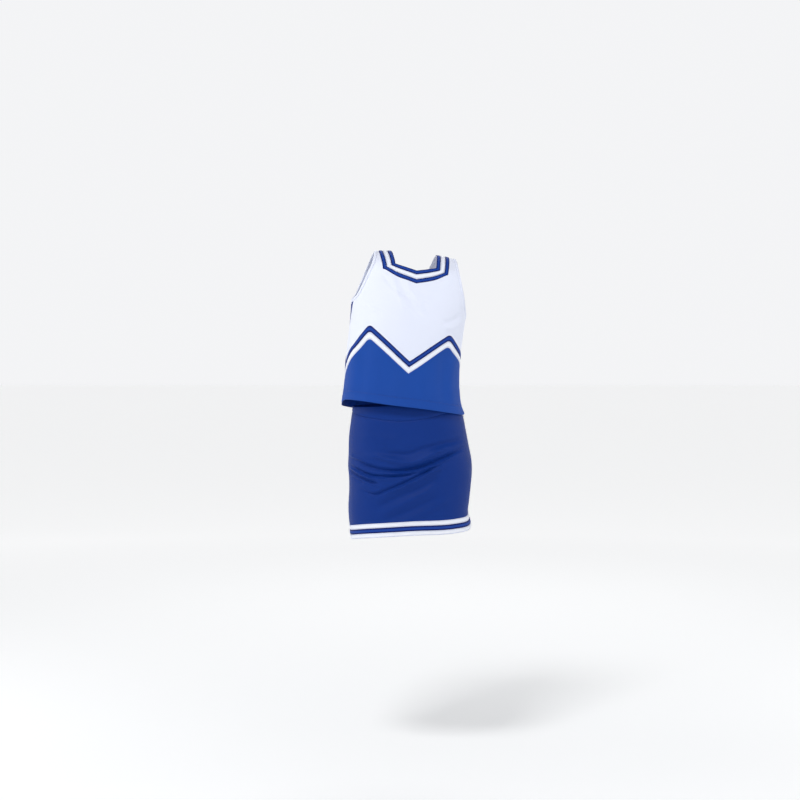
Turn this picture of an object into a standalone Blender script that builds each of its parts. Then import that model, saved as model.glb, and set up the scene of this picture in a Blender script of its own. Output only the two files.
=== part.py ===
"""Two-piece cheer uniform: a sleeveless shell top over a fitted skirt, hollow, in its worn shape.

Metres, +Z up. The front faces -Y and the wearer's left is +X. The origin is on the wearer's
centre line, 4 mm above the top edge of the skirt's waistband. Cloth pieces are patterns cut on
two skins, one for the shell and one for the skirt, and thickened outwards. Each skin is read by
straight lines between lattice points, so layers that lie on one another keep an even gap.
"""

import math

import bmesh
import bpy
from mathutils import Euler, Matrix, Vector
from mathutils.geometry import delaunay_2d_cdt

# ---- thicknesses and gaps ----
CLOTH = 0.0010
GAP = 0.0003
BRAID = 0.0009
TAPE = 0.0005
SEAM = 0.0002

# ---- pattern sizes ----
BRAID_WIDTH = 0.0100
CHEVRON_BLUE = 0.0105
CHEVRON_WHITE = 0.0115
BINDING = 0.0070
FACING = 0.0200
SLOT = 0.0044
TAPE_EDGE = 0.0140
GUSSET_HALF = 0.0225
GUSSET_DROP = 0.0480

# ---- how each garment sits on the wearer ----
SHELL_PIVOT = (-0.0170, 0.0, -0.0110)
SHELL_TURN = (0.0, math.radians(5.5), math.radians(6.0))
SKIRT_PIVOT = (-0.0028, 0.0, 0.0)
SKIRT_TURN = (0.0, math.radians(-2.7), math.radians(4.0))

# ---- sections: half width to the wearer's right, to the left, front depth, back depth ----
SHELL_ROWS = (
    (-0.022, 0.1350, 0.1530, 0.1115, 0.1060),
    (0.000, 0.1335, 0.1440, 0.1085, 0.1040),
    (0.014, 0.1325, 0.1375, 0.1062, 0.1027),
    (0.050, 0.1312, 0.1290, 0.1010, 0.0995),
    (0.090, 0.1318, 0.1245, 0.0968, 0.0959),
    (0.130, 0.1322, 0.1224, 0.0972, 0.0923),
    (0.165, 0.1315, 0.1238, 0.0985, 0.0891),
    (0.205, 0.1320, 0.1258, 0.0970, 0.0855),
    (0.245, 0.1335, 0.1284, 0.0900, 0.0819),
    (0.280, 0.1340, 0.1312, 0.0785, 0.0788),
    (0.300, 0.1345, 0.1330, 0.0705, 0.0770),
    (0.318, 0.1350, 0.1345, 0.0595, 0.0680),
    (0.332, 0.1350, 0.1350, 0.0430, 0.0530),
    (0.343, 0.1350, 0.1350, 0.0235, 0.0310),
    (0.3475, 0.1350, 0.1350, 0.0105, 0.0130),
    (0.349, 0.1350, 0.1350, 0.0000, 0.0000),
)
SKIRT_ROWS = (
    (-0.330, 0.1395, 0.1310, 0.1120, 0.1140),
    (-0.304, 0.1400, 0.1315, 0.1115, 0.1140),
    (-0.278, 0.1412, 0.1310, 0.1105, 0.1140),
    (-0.258, 0.1430, 0.1262, 0.1090, 0.1140),
    (-0.230, 0.1425, 0.1295, 0.1085, 0.1145),
    (-0.195, 0.1395, 0.1350, 0.1085, 0.1165),
    (-0.165, 0.1390, 0.1395, 0.1085, 0.1180),
    (-0.140, 0.1400, 0.1400, 0.1080, 0.1175),
    (-0.110, 0.1370, 0.1357, 0.1065, 0.1140),
    (-0.065, 0.1325, 0.1292, 0.0990, 0.1050),
    (-0.033, 0.1270, 0.1237, 0.0925, 0.0950),
    (-0.022, 0.1250, 0.1210, 0.0905, 0.0920),
    (0.000, 0.1205, 0.1145, 0.0875, 0.0885),
    (0.012, 0.1190, 0.1110, 0.0865, 0.0875),
)
ROUNDNESS = 2.35
SECTION = (0.130, 0.097)
STRAP_PULL = 0.0050

# ---- colours ----
WHITE = (0.84, 0.86, 0.93, 1.0)
ROYAL = (0.022, 0.090, 0.370, 1.0)
NAVY = (0.018, 0.045, 0.260, 1.0)
SKIRT_BLUE = (0.016, 0.060, 0.290, 1.0)
STEEL = (0.62, 0.64, 0.66, 1.0)

part_collection = bpy.data.collections.new("cheer_uniform")
guide_collection = bpy.data.collections.new("cutters_and_guides")


def clear_scene():
    for item in list(bpy.data.objects):
        bpy.data.objects.remove(item, do_unlink=True)
    bpy.context.scene.collection.children.link(part_collection)
    bpy.context.scene.collection.children.link(guide_collection)


def material(name, colour, roughness, metallic=0.0):
    mat = bpy.data.materials.new(name)
    mat.use_nodes = True
    bsdf = mat.node_tree.nodes["Principled BSDF"]
    bsdf.inputs["Base Color"].default_value = colour
    bsdf.inputs["Roughness"].default_value = roughness
    bsdf.inputs["Metallic"].default_value = metallic
    mat.diffuse_color = colour
    return mat


# ---- curves and tables ----


def read(table, x):
    """Straight-line reading of a list of (x, y) pairs."""
    if x <= table[0][0]:
        return table[0][1]
    for (x0, y0), (x1, y1) in zip(table, table[1:]):
        if x <= x1:
            return y0 + (y1 - y0) * (x - x0) / (x1 - x0)
    return table[-1][1]


def hermite(keys, x):
    """Smooth reading of rows (x, y1, y2, ...) with slopes taken from the neighbours."""
    last = len(keys) - 2
    i = 0
    while i < last and x > keys[i + 1][0]:
        i += 1
    x0, x1 = keys[i][0], keys[i + 1][0]
    t = (x - x0) / (x1 - x0)

    def slope(k, c):
        if k == 0:
            return (keys[1][c] - keys[0][c]) / (keys[1][0] - keys[0][0])
        if k == len(keys) - 1:
            return (keys[k][c] - keys[k - 1][c]) / (keys[k][0] - keys[k - 1][0])
        left = keys[k][0] - keys[k - 1][0]
        right = keys[k + 1][0] - keys[k][0]
        a = (keys[k][c] - keys[k - 1][c]) / left
        b = (keys[k + 1][c] - keys[k][c]) / right
        return (a * right + b * left) / (left + right)

    out = []
    for c in range(1, len(keys[0])):
        m0, m1 = slope(i, c) * (x1 - x0), slope(i + 1, c) * (x1 - x0)
        y0, y1 = keys[i][c], keys[i + 1][c]
        if x < x0:
            out.append(y0 + m0 * t)
        else:
            out.append(
                y0 * (2 * t**3 - 3 * t**2 + 1)
                + m0 * (t**3 - 2 * t**2 + t)
                + y1 * (3 * t**2 - 2 * t**3)
                + m1 * (t**3 - t**2)
            )
    return out


def smoothstep(low, high, x):
    t = min(1.0, max(0.0, (x - low) / (high - low)))
    return t * t * (3 - 2 * t)


def section_table():
    """Arc length, x and y of a quarter of the rounded section, for half width 1 and depth 1."""
    rows = [(0.0, 0.0, 1.0)]
    steps = 360
    for i in range(1, steps + 1):
        t = 0.5 * math.pi * i / steps
        x = math.sin(t) ** (2 / ROUNDNESS)
        y = max(0.0, math.cos(t)) ** (2 / ROUNDNESS)
        arc = math.hypot((x - rows[-1][1]) * SECTION[0], (y - rows[-1][2]) * SECTION[1])
        rows.append((rows[-1][0] + arc, x, y))
    rows[-1] = (rows[-1][0], 1.0, 0.0)
    return rows


QUARTER_ROWS = section_table()
QUARTER = QUARTER_ROWS[-1][0]
ARC_TO_X = [(r[0], r[1]) for r in QUARTER_ROWS]
ARC_TO_Y = [(r[0], r[2]) for r in QUARTER_ROWS]
X_TO_ARC = [(r[1], r[0]) for r in QUARTER_ROWS]


def shell_heights():
    """The shell's rows again, keyed by the length of cloth up from the hem."""
    keyed = []
    run = 0.0
    for i, row in enumerate(SHELL_ROWS):
        if i:
            before = SHELL_ROWS[i - 1]
            depth = 0.5 * (row[3] + row[4] - before[3] - before[4])
            run += math.hypot(row[0] - before[0], depth)
        keyed.append((run,) + row)
    zero = keyed[1][0]
    return [(k[0] - zero,) + k[1:] for k in keyed]


SHELL_KEYS = shell_heights()
TOP = SHELL_KEYS[-1][0]
HEIGHT_TO_RUN = [(k[1], k[0]) for k in SHELL_KEYS]


def shell_point(s, tau):
    """s runs across from the centre. tau is 0 on the shoulder line, below 0 in front and above 0 behind."""
    z, right, left, front, back = hermite(SHELL_KEYS, TOP - abs(tau))
    depth = front if tau <= 0 else -back
    x = (left if s > 0 else -right) * read(ARC_TO_X, abs(s))
    y = -depth * read(ARC_TO_Y, abs(s))
    near = ((abs(x) - 0.075) / 0.022) ** 2 + ((z - 0.296) / 0.026) ** 2
    pull = smoothstep(0.0, 0.02, -tau) * math.exp(-near)
    z += STRAP_PULL * pull - 1.2 * max(0.0, abs(x) - 0.03) ** 2 * smoothstep(0.24, 0.34, z)
    return Vector((x, y, z))


def skirt_point(u, z):
    """u runs right round the skirt from the front centre, towards the wearer's left."""
    right, left, front, back = hermite(SKIRT_ROWS, z)
    u = (u + 2 * QUARTER) % (4 * QUARTER) - 2 * QUARTER
    s = u if abs(u) <= QUARTER else math.copysign(2 * QUARTER - abs(u), u)
    x = (left if s > 0 else -right) * read(ARC_TO_X, abs(s))
    y = (-front if abs(u) <= QUARTER else back) * read(ARC_TO_Y, abs(s))
    return Vector((x, y, z))


class Skin:
    """A surface read by straight lines between lattice points, with a lattice of outward normals."""

    def __init__(self, point, columns, rows):
        self.columns, self.rows = columns, rows
        step = 0.0012
        self.places, self.normals = [], []
        for u in columns:
            line, normals = [], []
            for v in rows:
                along = point(u + step, v) - point(u - step, v)
                up = point(u, v + step) - point(u, v - step)
                line.append(point(u, v))
                normals.append(along.cross(up).normalized())
            self.places.append(line)
            self.normals.append(normals)

    def find(self, line, x):
        i = 0
        while i < len(line) - 2 and x > line[i + 1]:
            i += 1
        return i, (x - line[i]) / (line[i + 1] - line[i])

    def at(self, u, v, off=0.0):
        i, a = self.find(self.columns, u)
        j, b = self.find(self.rows, v)
        weights = ((i, j, (1 - a) * (1 - b)), (i + 1, j, a * (1 - b)))
        weights += ((i, j + 1, (1 - a) * b), (i + 1, j + 1, a * b))
        place, normal = Vector(), Vector()
        for p, q, w in weights:
            place += self.places[p][q] * w
            normal += self.normals[p][q] * w
        return place + normal.normalized() * off


def spread(low, high, count):
    return [low + (high - low) * i / count for i in range(count + 1)]


ACROSS = 8
QUARTER_STEPS = spread(0.0, QUARTER, ACROSS)
RUNS = [-0.022, 0.027, 0.060, 0.095, 0.130, 0.162, 0.192, 0.220, 0.246, 0.270]
RUNS += [TOP - 0.0895, TOP - 0.066, TOP - 0.045, TOP - 0.026, TOP - 0.010]
RUNS = sorted(RUNS)

strap_rows = [r - TOP for r in RUNS] + [0.0] + [TOP - r for r in reversed(RUNS)]
strap_columns = [-q for q in reversed(QUARTER_STEPS[1:])] + QUARTER_STEPS
SHELL = Skin(shell_point, strap_columns, strap_rows)


class Girdle:
    """The shell's skin again. Its first coordinate runs right round the body, its second up."""

    def __init__(self, skin):
        self.skin = skin
        self.columns = [i * QUARTER / ACROSS for i in range(-2 * ACROSS, 2 * ACROSS + 1)]
        self.rows = RUNS

    def at(self, u, v, off=0.0):
        if abs(u) <= QUARTER:
            return self.skin.at(u, v - TOP, off)
        return self.skin.at(math.copysign(2 * QUARTER - abs(u), u), TOP - v, off)


GIRDLE = Girdle(SHELL)
skirt_columns = [i * QUARTER / ACROSS for i in range(-2 * ACROSS, 5 * ACROSS + 1)]
skirt_rows = [-0.33, -0.280, -0.258, -0.232, -0.202, -0.172, -0.142, -0.112, -0.082, -0.052, -0.026, 0.012]
SKIRT = Skin(skirt_point, skirt_columns, skirt_rows)


# ---- outlines ----


def run_at(z):
    return read(HEIGHT_TO_RUN, z)


def strap(x, z, back=False):
    """Pattern place of a point x across and z up on the shell."""
    run = run_at(z)
    _, right, left, _, _ = hermite(SHELL_KEYS, run)
    s = math.copysign(read(X_TO_ARC, min(1.0, abs(x) / (left if x > 0 else right))), x)
    return (s, TOP - run if back else run - TOP)


def shifted(path, distance):
    """A smooth path moved sideways to its left."""
    moved = []
    for i, (x, y) in enumerate(path):
        sides = []
        for a, b in ((i - 1, i), (i, i + 1)):
            if a >= 0 and b < len(path):
                dx, dy = path[b][0] - path[a][0], path[b][1] - path[a][1]
                length = math.hypot(dx, dy)
                sides.append((-dy / length, dx / length))
        nx = sum(n[0] for n in sides) / len(sides)
        ny = sum(n[1] for n in sides) / len(sides)
        scale = distance / (nx * nx + ny * ny)
        moved.append((x + nx * scale, y + ny * scale))
    return moved


def crossing(a, b, c, d):
    """Where the segments a-b and c-d cross, or None."""
    rx, ry, sx, sy = b[0] - a[0], b[1] - a[1], d[0] - c[0], d[1] - c[1]
    spread_out = rx * sy - ry * sx
    if abs(spread_out) < 1e-15:
        return None
    t = ((c[0] - a[0]) * sy - (c[1] - a[1]) * sx) / spread_out
    w = ((c[0] - a[0]) * ry - (c[1] - a[1]) * rx) / spread_out
    if 0 <= t <= 1 and 0 <= w <= 1:
        return (a[0] + rx * t, a[1] + ry * t)
    return None


def lengthened(leg, at_start, at_end):
    """A leg with its end segments run on, so that it meets its neighbours."""
    leg = list(leg)
    reach = 0.060
    for wanted, i, j in ((at_start, 0, 1), (at_end, -1, -2)):
        if wanted:
            dx, dy = leg[i][0] - leg[j][0], leg[i][1] - leg[j][1]
            length = math.hypot(dx, dy)
            leg[i] = (leg[i][0] + dx / length * reach, leg[i][1] + dy / length * reach)
    return leg


def turn_at(path, i):
    """How sharply the path turns at a point, in radians."""
    ax, ay = path[i][0] - path[i - 1][0], path[i][1] - path[i - 1][1]
    bx, by = path[i + 1][0] - path[i][0], path[i + 1][1] - path[i][1]
    return abs(math.atan2(ax * by - ay * bx, ax * bx + ay * by))


def offset(path, distance):
    """The path moved sideways to its left. Sharp corners stay sharp."""
    corners = [0]
    for i in range(1, len(path) - 1):
        ax, ay = path[i][0] - path[i - 1][0], path[i][1] - path[i - 1][1]
        bx, by = path[i + 1][0] - path[i][0], path[i + 1][1] - path[i][1]
        if abs(math.atan2(ax * by - ay * bx, ax * bx + ay * by)) > math.radians(24):
            corners.append(i)
    corners.append(len(path) - 1)
    legs = [shifted(path[i : j + 1], distance) for i, j in zip(corners, corners[1:])]
    legs = [lengthened(leg, k > 0, k < len(legs) - 1) for k, leg in enumerate(legs)]
    result = list(legs[0])
    for leg in legs[1:]:
        meeting = None
        for i in range(len(result) - 2, -1, -1):
            for j in range(len(leg) - 1):
                meeting = crossing(result[i], result[i + 1], leg[j], leg[j + 1])
                if meeting:
                    result = result[: i + 1] + [meeting] + leg[j + 1 :]
                    break
            if meeting:
                break
    return result


def curve_through(points, per_span=4):
    """A smooth open path through the points."""
    path = []
    count = len(points)
    for i in range(count - 1):
        p0 = points[max(0, i - 1)]
        p1, p2 = points[i], points[i + 1]
        p3 = points[min(count - 1, i + 2)]
        for k in range(per_span):
            t = k / per_span
            path.append(
                tuple(
                    0.5
                    * (
                        2 * p1[c]
                        + (p2[c] - p0[c]) * t
                        + (2 * p0[c] - 5 * p1[c] + 4 * p2[c] - p3[c]) * t * t
                        + (3 * p1[c] - p0[c] - 3 * p2[c] + p3[c]) * t**3
                    )
                    for c in (0, 1)
                )
            )
    return path + [tuple(points[-1])]


def mirrored(path):
    return [(-s, t) for s, t in reversed(path)]


def tidy(outline, skin):
    """Outline points very near a lattice line are put on it, and doubled points are dropped."""
    kept = []
    for u, v in outline:
        for line in skin.columns:
            if abs(u - line) < 0.00015:
                u = line
        for line in skin.rows:
            if abs(v - line) < 0.00015:
                v = line
        if not kept or math.hypot(u - kept[-1][0], v - kept[-1][1]) > 0.0006:
            kept.append((u, v))
    if math.hypot(kept[0][0] - kept[-1][0], kept[0][1] - kept[-1][1]) < 0.0006:
        kept.pop()
    area = sum(a[0] * b[1] - b[0] * a[1] for a, b in zip(kept, kept[1:] + kept[:1]))
    return kept if area > 0 else kept[::-1]


# ---- building ----


def adopt(name, mesh, mat, parent):
    obj = bpy.data.objects.new(name, mesh)
    mesh.materials.append(mat)
    part_collection.objects.link(obj)
    obj.parent = parent
    return obj


def cloth(name, skin, outline, low, thick, mat, parent):
    """A pattern piece cut from a skin and thickened outwards."""
    outline = tidy(outline, skin)
    us, vs = [p[0] for p in outline], [p[1] for p in outline]
    points = [Vector(p) for p in outline]
    edges = []
    margin = 0.001
    for line in skin.columns:
        if min(us) < line < max(us):
            edges.append((len(points), len(points) + 1))
            points += [Vector((line, min(vs) - margin)), Vector((line, max(vs) + margin))]
    for line in skin.rows:
        if min(vs) < line < max(vs):
            edges.append((len(points), len(points) + 1))
            points += [Vector((min(us) - margin, line)), Vector((max(us) + margin, line))]
    face = list(range(len(outline)))
    flat, _, faces, _, _, origins = delaunay_2d_cdt(points, edges, [face], 0, 1e-7, True)
    bm = bmesh.new()
    verts = {}
    for corners, origin in zip(faces, origins):
        if not origin:
            continue
        for c in corners:
            if c not in verts:
                verts[c] = bm.verts.new(skin.at(flat[c][0], flat[c][1], low))
        bm.faces.new([verts[c] for c in corners])
    bmesh.ops.remove_doubles(bm, verts=bm.verts, dist=2e-6)
    bm.normal_update()
    first = max(bm.faces, key=lambda f: f.calc_area())
    centre = first.calc_center_median()
    if first.normal.dot(Vector((centre.x, centre.y, 0.0))) < 0:
        bmesh.ops.reverse_faces(bm, faces=bm.faces)
    mesh = bpy.data.meshes.new(name)
    bm.to_mesh(mesh)
    bm.free()
    obj = adopt(name, mesh, mat, parent)
    solid = obj.modifiers.new("thickness", "SOLIDIFY")
    solid.thickness = thick
    solid.offset = 1.0
    solid.use_rim = True
    return obj


def holder(name, location, rotation, parent=None):
    empty = bpy.data.objects.new(name, None)
    empty.location = location
    empty.rotation_euler = rotation
    empty.parent = parent
    part_collection.objects.link(empty)
    return empty


def prism(bm, outline, low, high, axis="y"):
    """A flat outline, as pairs across and up, thickened along an axis and added to a bmesh."""
    if axis == "y":
        verts = [bm.verts.new((a, low, b)) for a, b in outline]
        shift = Vector((0, high - low, 0))
    else:
        verts = [bm.verts.new((a, b, low)) for a, b in outline]
        shift = Vector((0, 0, high - low))
    face = bm.faces.new(verts)
    grown = bmesh.ops.extrude_face_region(bm, geom=[face])
    moved = [g for g in grown["geom"] if isinstance(g, bmesh.types.BMVert)]
    bmesh.ops.translate(bm, verts=moved, vec=shift)
    bmesh.ops.recalc_face_normals(bm, faces=bm.faces)


def hard(name, fill, mat, parent, bevel=0.0):
    bm = bmesh.new()
    fill(bm)
    bmesh.ops.recalc_face_normals(bm, faces=bm.faces)
    mesh = bpy.data.meshes.new(name)
    bm.to_mesh(mesh)
    bm.free()
    obj = adopt(name, mesh, mat, parent)
    if bevel:
        edge = obj.modifiers.new("rounded edges", "BEVEL")
        edge.width = bevel
        edge.segments = 1
        edge.limit_method = "ANGLE"
    return obj


def block(bm, size, centre):
    bmesh.ops.create_cube(bm, size=1.0, matrix=Matrix.Translation(centre) @ Matrix.Diagonal((*size, 1.0)))


def rod(name, points, radius, sides=3):
    """The mesh of a round wire bent through the points, with closed ends."""
    data = bpy.data.curves.new(name, "CURVE")
    data.dimensions = "3D"
    spline = data.splines.new("POLY")
    spline.points.add(len(points) - 1)
    for p, place in zip(spline.points, points):
        p.co = (*place, 1.0)
    data.bevel_depth = radius
    data.bevel_resolution = sides
    data.use_fill_caps = True
    guide = bpy.data.objects.new(name, data)
    guide_collection.objects.link(guide)
    bpy.context.view_layer.update()
    mesh = bpy.data.meshes.new_from_object(guide.evaluated_get(bpy.context.evaluated_depsgraph_get()))
    bpy.data.objects.remove(guide, do_unlink=True)
    bm = bmesh.new()
    bm.from_mesh(mesh)
    bmesh.ops.remove_doubles(bm, verts=bm.verts, dist=1e-6)
    bmesh.ops.recalc_face_normals(bm, faces=bm.faces)
    bm.to_mesh(mesh)
    bm.free()
    return mesh


def joined(base, name, mesh):
    """Adds another closed mesh to a solid by a Boolean union."""
    other = bpy.data.objects.new(name, mesh)
    guide_collection.objects.link(other)
    other.parent = base.parent
    other.hide_render = True
    other.display_type = "WIRE"
    union = base.modifiers.new(name, "BOOLEAN")
    union.operation = "UNION"
    union.solver = "EXACT"
    union.object = other


# ---- zips ----

ZIP_PITCH = 0.0056


def zip_teeth(name, length, side, mat, parent):
    """One row of coil teeth with its core, from 0 up to the length, beside the zip's centre line."""

    def fill(bm):
        core, root, tip = 0.0022, 0.0015, 0.00065
        count = int(length / ZIP_PITCH)
        start = 0.0 if side > 0 else 0.5 * ZIP_PITCH
        outline = [(core, 0.0)]
        z = start
        outline.append((root, 0.0))
        for _ in range(count):
            low, high = z + 0.15 * ZIP_PITCH, z + 0.6 * ZIP_PITCH
            if high < length:
                outline += [(root, low), (tip, low), (tip, high), (root, high)]
            z += ZIP_PITCH
        outline += [(root, length), (core, length)]
        prism(bm, [(side * a, b) for a, b in outline], -0.0016, 0.0004)
        bmesh.ops.triangulate(bm, faces=[f for f in bm.faces if len(f.verts) > 4])

    return hard(name, fill, mat, parent)


def zip_slider(name, mat, parent):
    """Two plates joined by a divider at the nose, with a bail over the outer plate."""

    def plate(bm, low, high):
        outline = [(-0.0024, -0.0050), (0.0024, -0.0050), (0.0030, -0.0035), (0.0036, 0.0030)]
        outline += [(0.0028, 0.0046), (0.0012, 0.0052), (-0.0012, 0.0052)]
        outline += [(-0.0028, 0.0046), (-0.0036, 0.0030), (-0.0030, -0.0035)]
        prism(bm, outline, low, high)

    slider = hard(name, lambda bm: plate(bm, 0.00075, 0.00155), mat, parent)
    bm = bmesh.new()
    plate(bm, -0.00275, -0.00195)
    inner = bpy.data.meshes.new(name + " inner plate")
    bm.to_mesh(inner)
    bm.free()
    joined(slider, name + " inner plate", inner)
    bm = bmesh.new()
    block(bm, (0.0007, 0.0038, 0.0030), (0.0, -0.0006, 0.0030))
    divider = bpy.data.meshes.new(name + " divider")
    bm.to_mesh(divider)
    bm.free()
    joined(slider, name + " divider", divider)
    arch = [(0, 0.0012, 0.0025), (0, 0.0028, 0.0025), (0, 0.0037, 0.0016)]
    arch += [(0, 0.0037, -0.0016), (0, 0.0028, -0.0025), (0, 0.0012, -0.0025)]
    joined(slider, name + " bail", rod(name + " bail", arch, 0.00045, 1))
    return slider


def zip_pull(name, mat, parent):
    """A flat tab. Its cross bar lies along the hinge under the bail."""

    def fill(bm):
        low, high = -0.0004, 0.0004
        frame = [(-0.0021, 0.0005), (-0.0021, -0.0043), (-0.0024, -0.0160), (-0.0017, -0.0205)]
        frame += [(0.0017, -0.0205), (0.0024, -0.0160), (0.0021, -0.0043), (0.0021, 0.0005)]
        window = [(-0.0012, -0.0005), (-0.0012, -0.0043), (0.0012, -0.0043), (0.0012, -0.0005)]
        points = [Vector(p) for p in frame + window]
        outer = list(range(len(frame)))
        hole = [len(frame) + i for i in range(4)]
        flat, _, faces, _, _, origins = delaunay_2d_cdt(points, [], [outer, hole], 0, 1e-7, True)
        verts = [bm.verts.new((p[0], low, p[1])) for p in flat]
        made = [bm.faces.new([verts[c] for c in f]) for f, o in zip(faces, origins) if o and 1 not in o]
        grown = bmesh.ops.extrude_face_region(bm, geom=made)
        moved = [g for g in grown["geom"] if isinstance(g, bmesh.types.BMVert)]
        bmesh.ops.translate(bm, verts=moved, vec=Vector((0, high - low, 0)))

    return hard(name, fill, mat, parent)


def zip_fastener(prefix, sides, base, up, out, length, rest, parent, mats):
    """Chain, slider, pull and stops on a straight line from base, along up, facing out."""
    across = out.cross(up)
    # The frame's x runs across the zip, y faces out of the cloth and z runs up the zip.
    turn = Matrix((across, out, up)).transposed()
    line = holder(prefix + "_zip_line", base, turn.to_euler(), parent)
    coil, metal = mats
    for side, label in zip((1, -1), sides):
        zip_teeth(f"{prefix}_zip_teeth_{label}", length, side, coil, line)
        centre = (side * 0.00145, -0.0006, length + 0.0017)
        hard(
            f"{prefix}_zip_top_stop_{label}",
            lambda bm, centre=centre: block(bm, (0.0017, 0.0022, 0.0026), centre),
            metal,
            line,
        )
    hard(
        f"{prefix}_zip_bottom_stop",
        lambda bm: block(bm, (0.0046, 0.0026, 0.0030), (0, -0.0006, -0.0019)),
        metal,
        line,
        0.0003,
    )
    carriage = holder(prefix + "_zip_travel", (0, 0, rest), (0, 0, 0), line)
    zip_slider(prefix + "_zip_slider", metal, carriage)
    hinge = holder(prefix + "_zip_hinge", (0, 0.00245, 0), (0, 0, 0), carriage)
    zip_pull(prefix + "_zip_pull", metal, hinge)
    return line


# ---- the shell ----

# ---- lines of the shell's pattern: x across, z up; -1 is the wearer's right, 1 the left ----
ARMHOLE_LOW = {-1: 0.2285, 1: 0.2165}
ARMHOLE_FRONT = {
    -1: [(0.0925, 0.349), (0.0985, 0.322), (0.1085, 0.294), (0.1182, 0.264), (0.1268, 0.241)],
    1: [(0.0935, 0.349), (0.0975, 0.322), (0.1045, 0.294), (0.1135, 0.264), (0.1222, 0.229)],
}
ARMHOLE_BACK = {
    -1: [(0.0925, 0.349), (0.0985, 0.328), (0.1060, 0.301), (0.1150, 0.270), (0.1250, 0.241)],
    1: [(0.0935, 0.349), (0.0980, 0.328), (0.1040, 0.301), (0.1120, 0.270), (0.1215, 0.229)],
}
NECK_CORNER = {-1: (0.0480, 0.3180), 1: (0.0440, 0.3180)}
NECK_SHOULDER = {-1: 0.0540, 1: 0.0475}
NECK_TIP = 0.3070
NECK_EASE = (0.0185, 0.3113)


def armhole(side):
    """The armhole's edge from the front side seam over the shoulder to the back side seam."""
    low = ARMHOLE_LOW[side]
    forward = [strap(side * x, z) for x, z in ARMHOLE_FRONT[side]]
    rear = [strap(side * x, z, True) for x, z in ARMHOLE_BACK[side]]
    end = run_at(low)
    forward += [(side * QUARTER, end - TOP)]
    rear += [(side * QUARTER, TOP - end)]
    return curve_through(list(reversed(forward)) + rear[1:], 3)


def armhole_band(side, width):
    """The armhole's edge moved into the cloth, with both ends kept on the side seam."""
    path = armhole(side)
    moved = offset(path, width * side)
    moved[0] = (side * QUARTER, path[0][1] - width)
    moved[-1] = (side * QUARTER, path[-1][1] + width)
    return moved


def neckline():
    """The neck's edge, from the back zip on the left, over both shoulders, to the zip on the right."""

    def half(side):
        start = TOP - run_at(0.3070)
        corner = strap(0.0445, 0.3300, True)
        line = [(0.0050, start), (0.026, TOP - run_at(0.3085))]
        line += [(0.0385, 0.5 * (TOP - run_at(0.3085) + corner[1]) + 0.010), corner]
        line += [(strap(NECK_SHOULDER[side], 0.349)[0], 0.0), strap(*NECK_CORNER[side]), strap(*NECK_EASE)]
        return line

    return half(1) + [(0.0, run_at(NECK_TIP) - TOP)] + mirrored(half(-1))


def neck_band(inner, outer):
    """A band round the neck between two distances from its edge."""
    path = neckline()
    inside = offset(path, inner) if inner else list(path)
    outside = offset(path, outer)
    for line in (inside, outside):
        line[0] = (0.0050, line[0][1])
        line[-1] = (-0.0050, line[-1][1])
    return inside, outside


CHEVRON_TIP = 0.1052
CHEVRON_FRONT = {
    -1: [(0.0945, 0.1797), (0.1128, 0.1500), (0.1257, 0.1210)],
    1: [(0.0862, 0.1742), (0.1094, 0.1486), (0.1212, 0.1290)],
}
CHEVRON_SIDE = {-1: 0.0815, 1: 0.1180}
CHEVRON_EASE = 0.0115
CHEVRON_BACK = [(0.0, 0.0980), (0.0780, 0.1630)]


def chevron_front():
    """The top edge of the blue stripe, from the wearer's left side seam to the right."""
    ends = [(side * QUARTER, run_at(CHEVRON_SIDE[side]) - TOP) for side in (1, -1)]
    left = [strap(x, z) for x, z in CHEVRON_FRONT[1]]
    right = [strap(-x, z) for x, z in CHEVRON_FRONT[-1]]
    leg_left = curve_through([ends[0]] + list(reversed(left)), 3)
    leg_right = curve_through(right + [ends[1]], 3)
    return leg_left + [strap(0.0, CHEVRON_TIP)] + leg_right


def chevron_back(side):
    """The top edge of the blue stripe on one back half, from the side seam to the centre line."""
    start = (side * QUARTER, TOP - run_at(CHEVRON_SIDE[side]))
    apex = strap(side * CHEVRON_BACK[1][0], CHEVRON_BACK[1][1], True)
    middle = strap(side * 0.118, 0.132, True)
    centre = strap(0.0, CHEVRON_BACK[0][1], True)
    return curve_through([start, middle, apex], 3) + [centre]


def eased(path, reach=CHEVRON_EASE, steps=4):
    """The path with its peaks at the sides rounded. The point at the centre stays sharp."""
    out = list(path)
    for i in range(len(path) - 2, 0, -1):
        peak = path[i]
        if abs(peak[0]) < 0.03 or turn_at(path, i) < math.radians(24):
            continue
        ends = []
        for way in (-1, 1):
            j = i + way
            while 0 < j < len(path) - 1 and math.dist(path[j], peak) < reach:
                j += way
            size = math.dist(path[j], peak)
            share = min(1.0, reach / size)
            ends.append((j, tuple(p + (q - p) * share for p, q in zip(peak, path[j]))))
        (a, start), (b, end) = ends
        arc = []
        for k in range(steps + 1):
            t = k / steps
            weights = ((1 - t) ** 2, 2 * t * (1 - t), t * t)
            arc.append(tuple(sum(w * v for w, v in zip(weights, trio)) for trio in zip(start, peak, end)))
        out = out[: a + 1] + arc + out[b:]
    return out


def stripe_edge(path, distance, side=1):
    """A chevron edge moved down the cloth, its ends held on the lines they start and stop on."""
    if not distance:
        return eased(path)
    moved = offset(path, distance * side)
    ends = []
    for i in (0, -1):
        j = 1 if i == 0 else -2
        a, b = moved[i], moved[j]
        t = (path[i][0] - a[0]) / (b[0] - a[0])
        ends.append((path[i][0], a[1] + (b[1] - a[1]) * t))
    return eased([ends[0]] + moved[1:-1] + [ends[1]])


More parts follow.
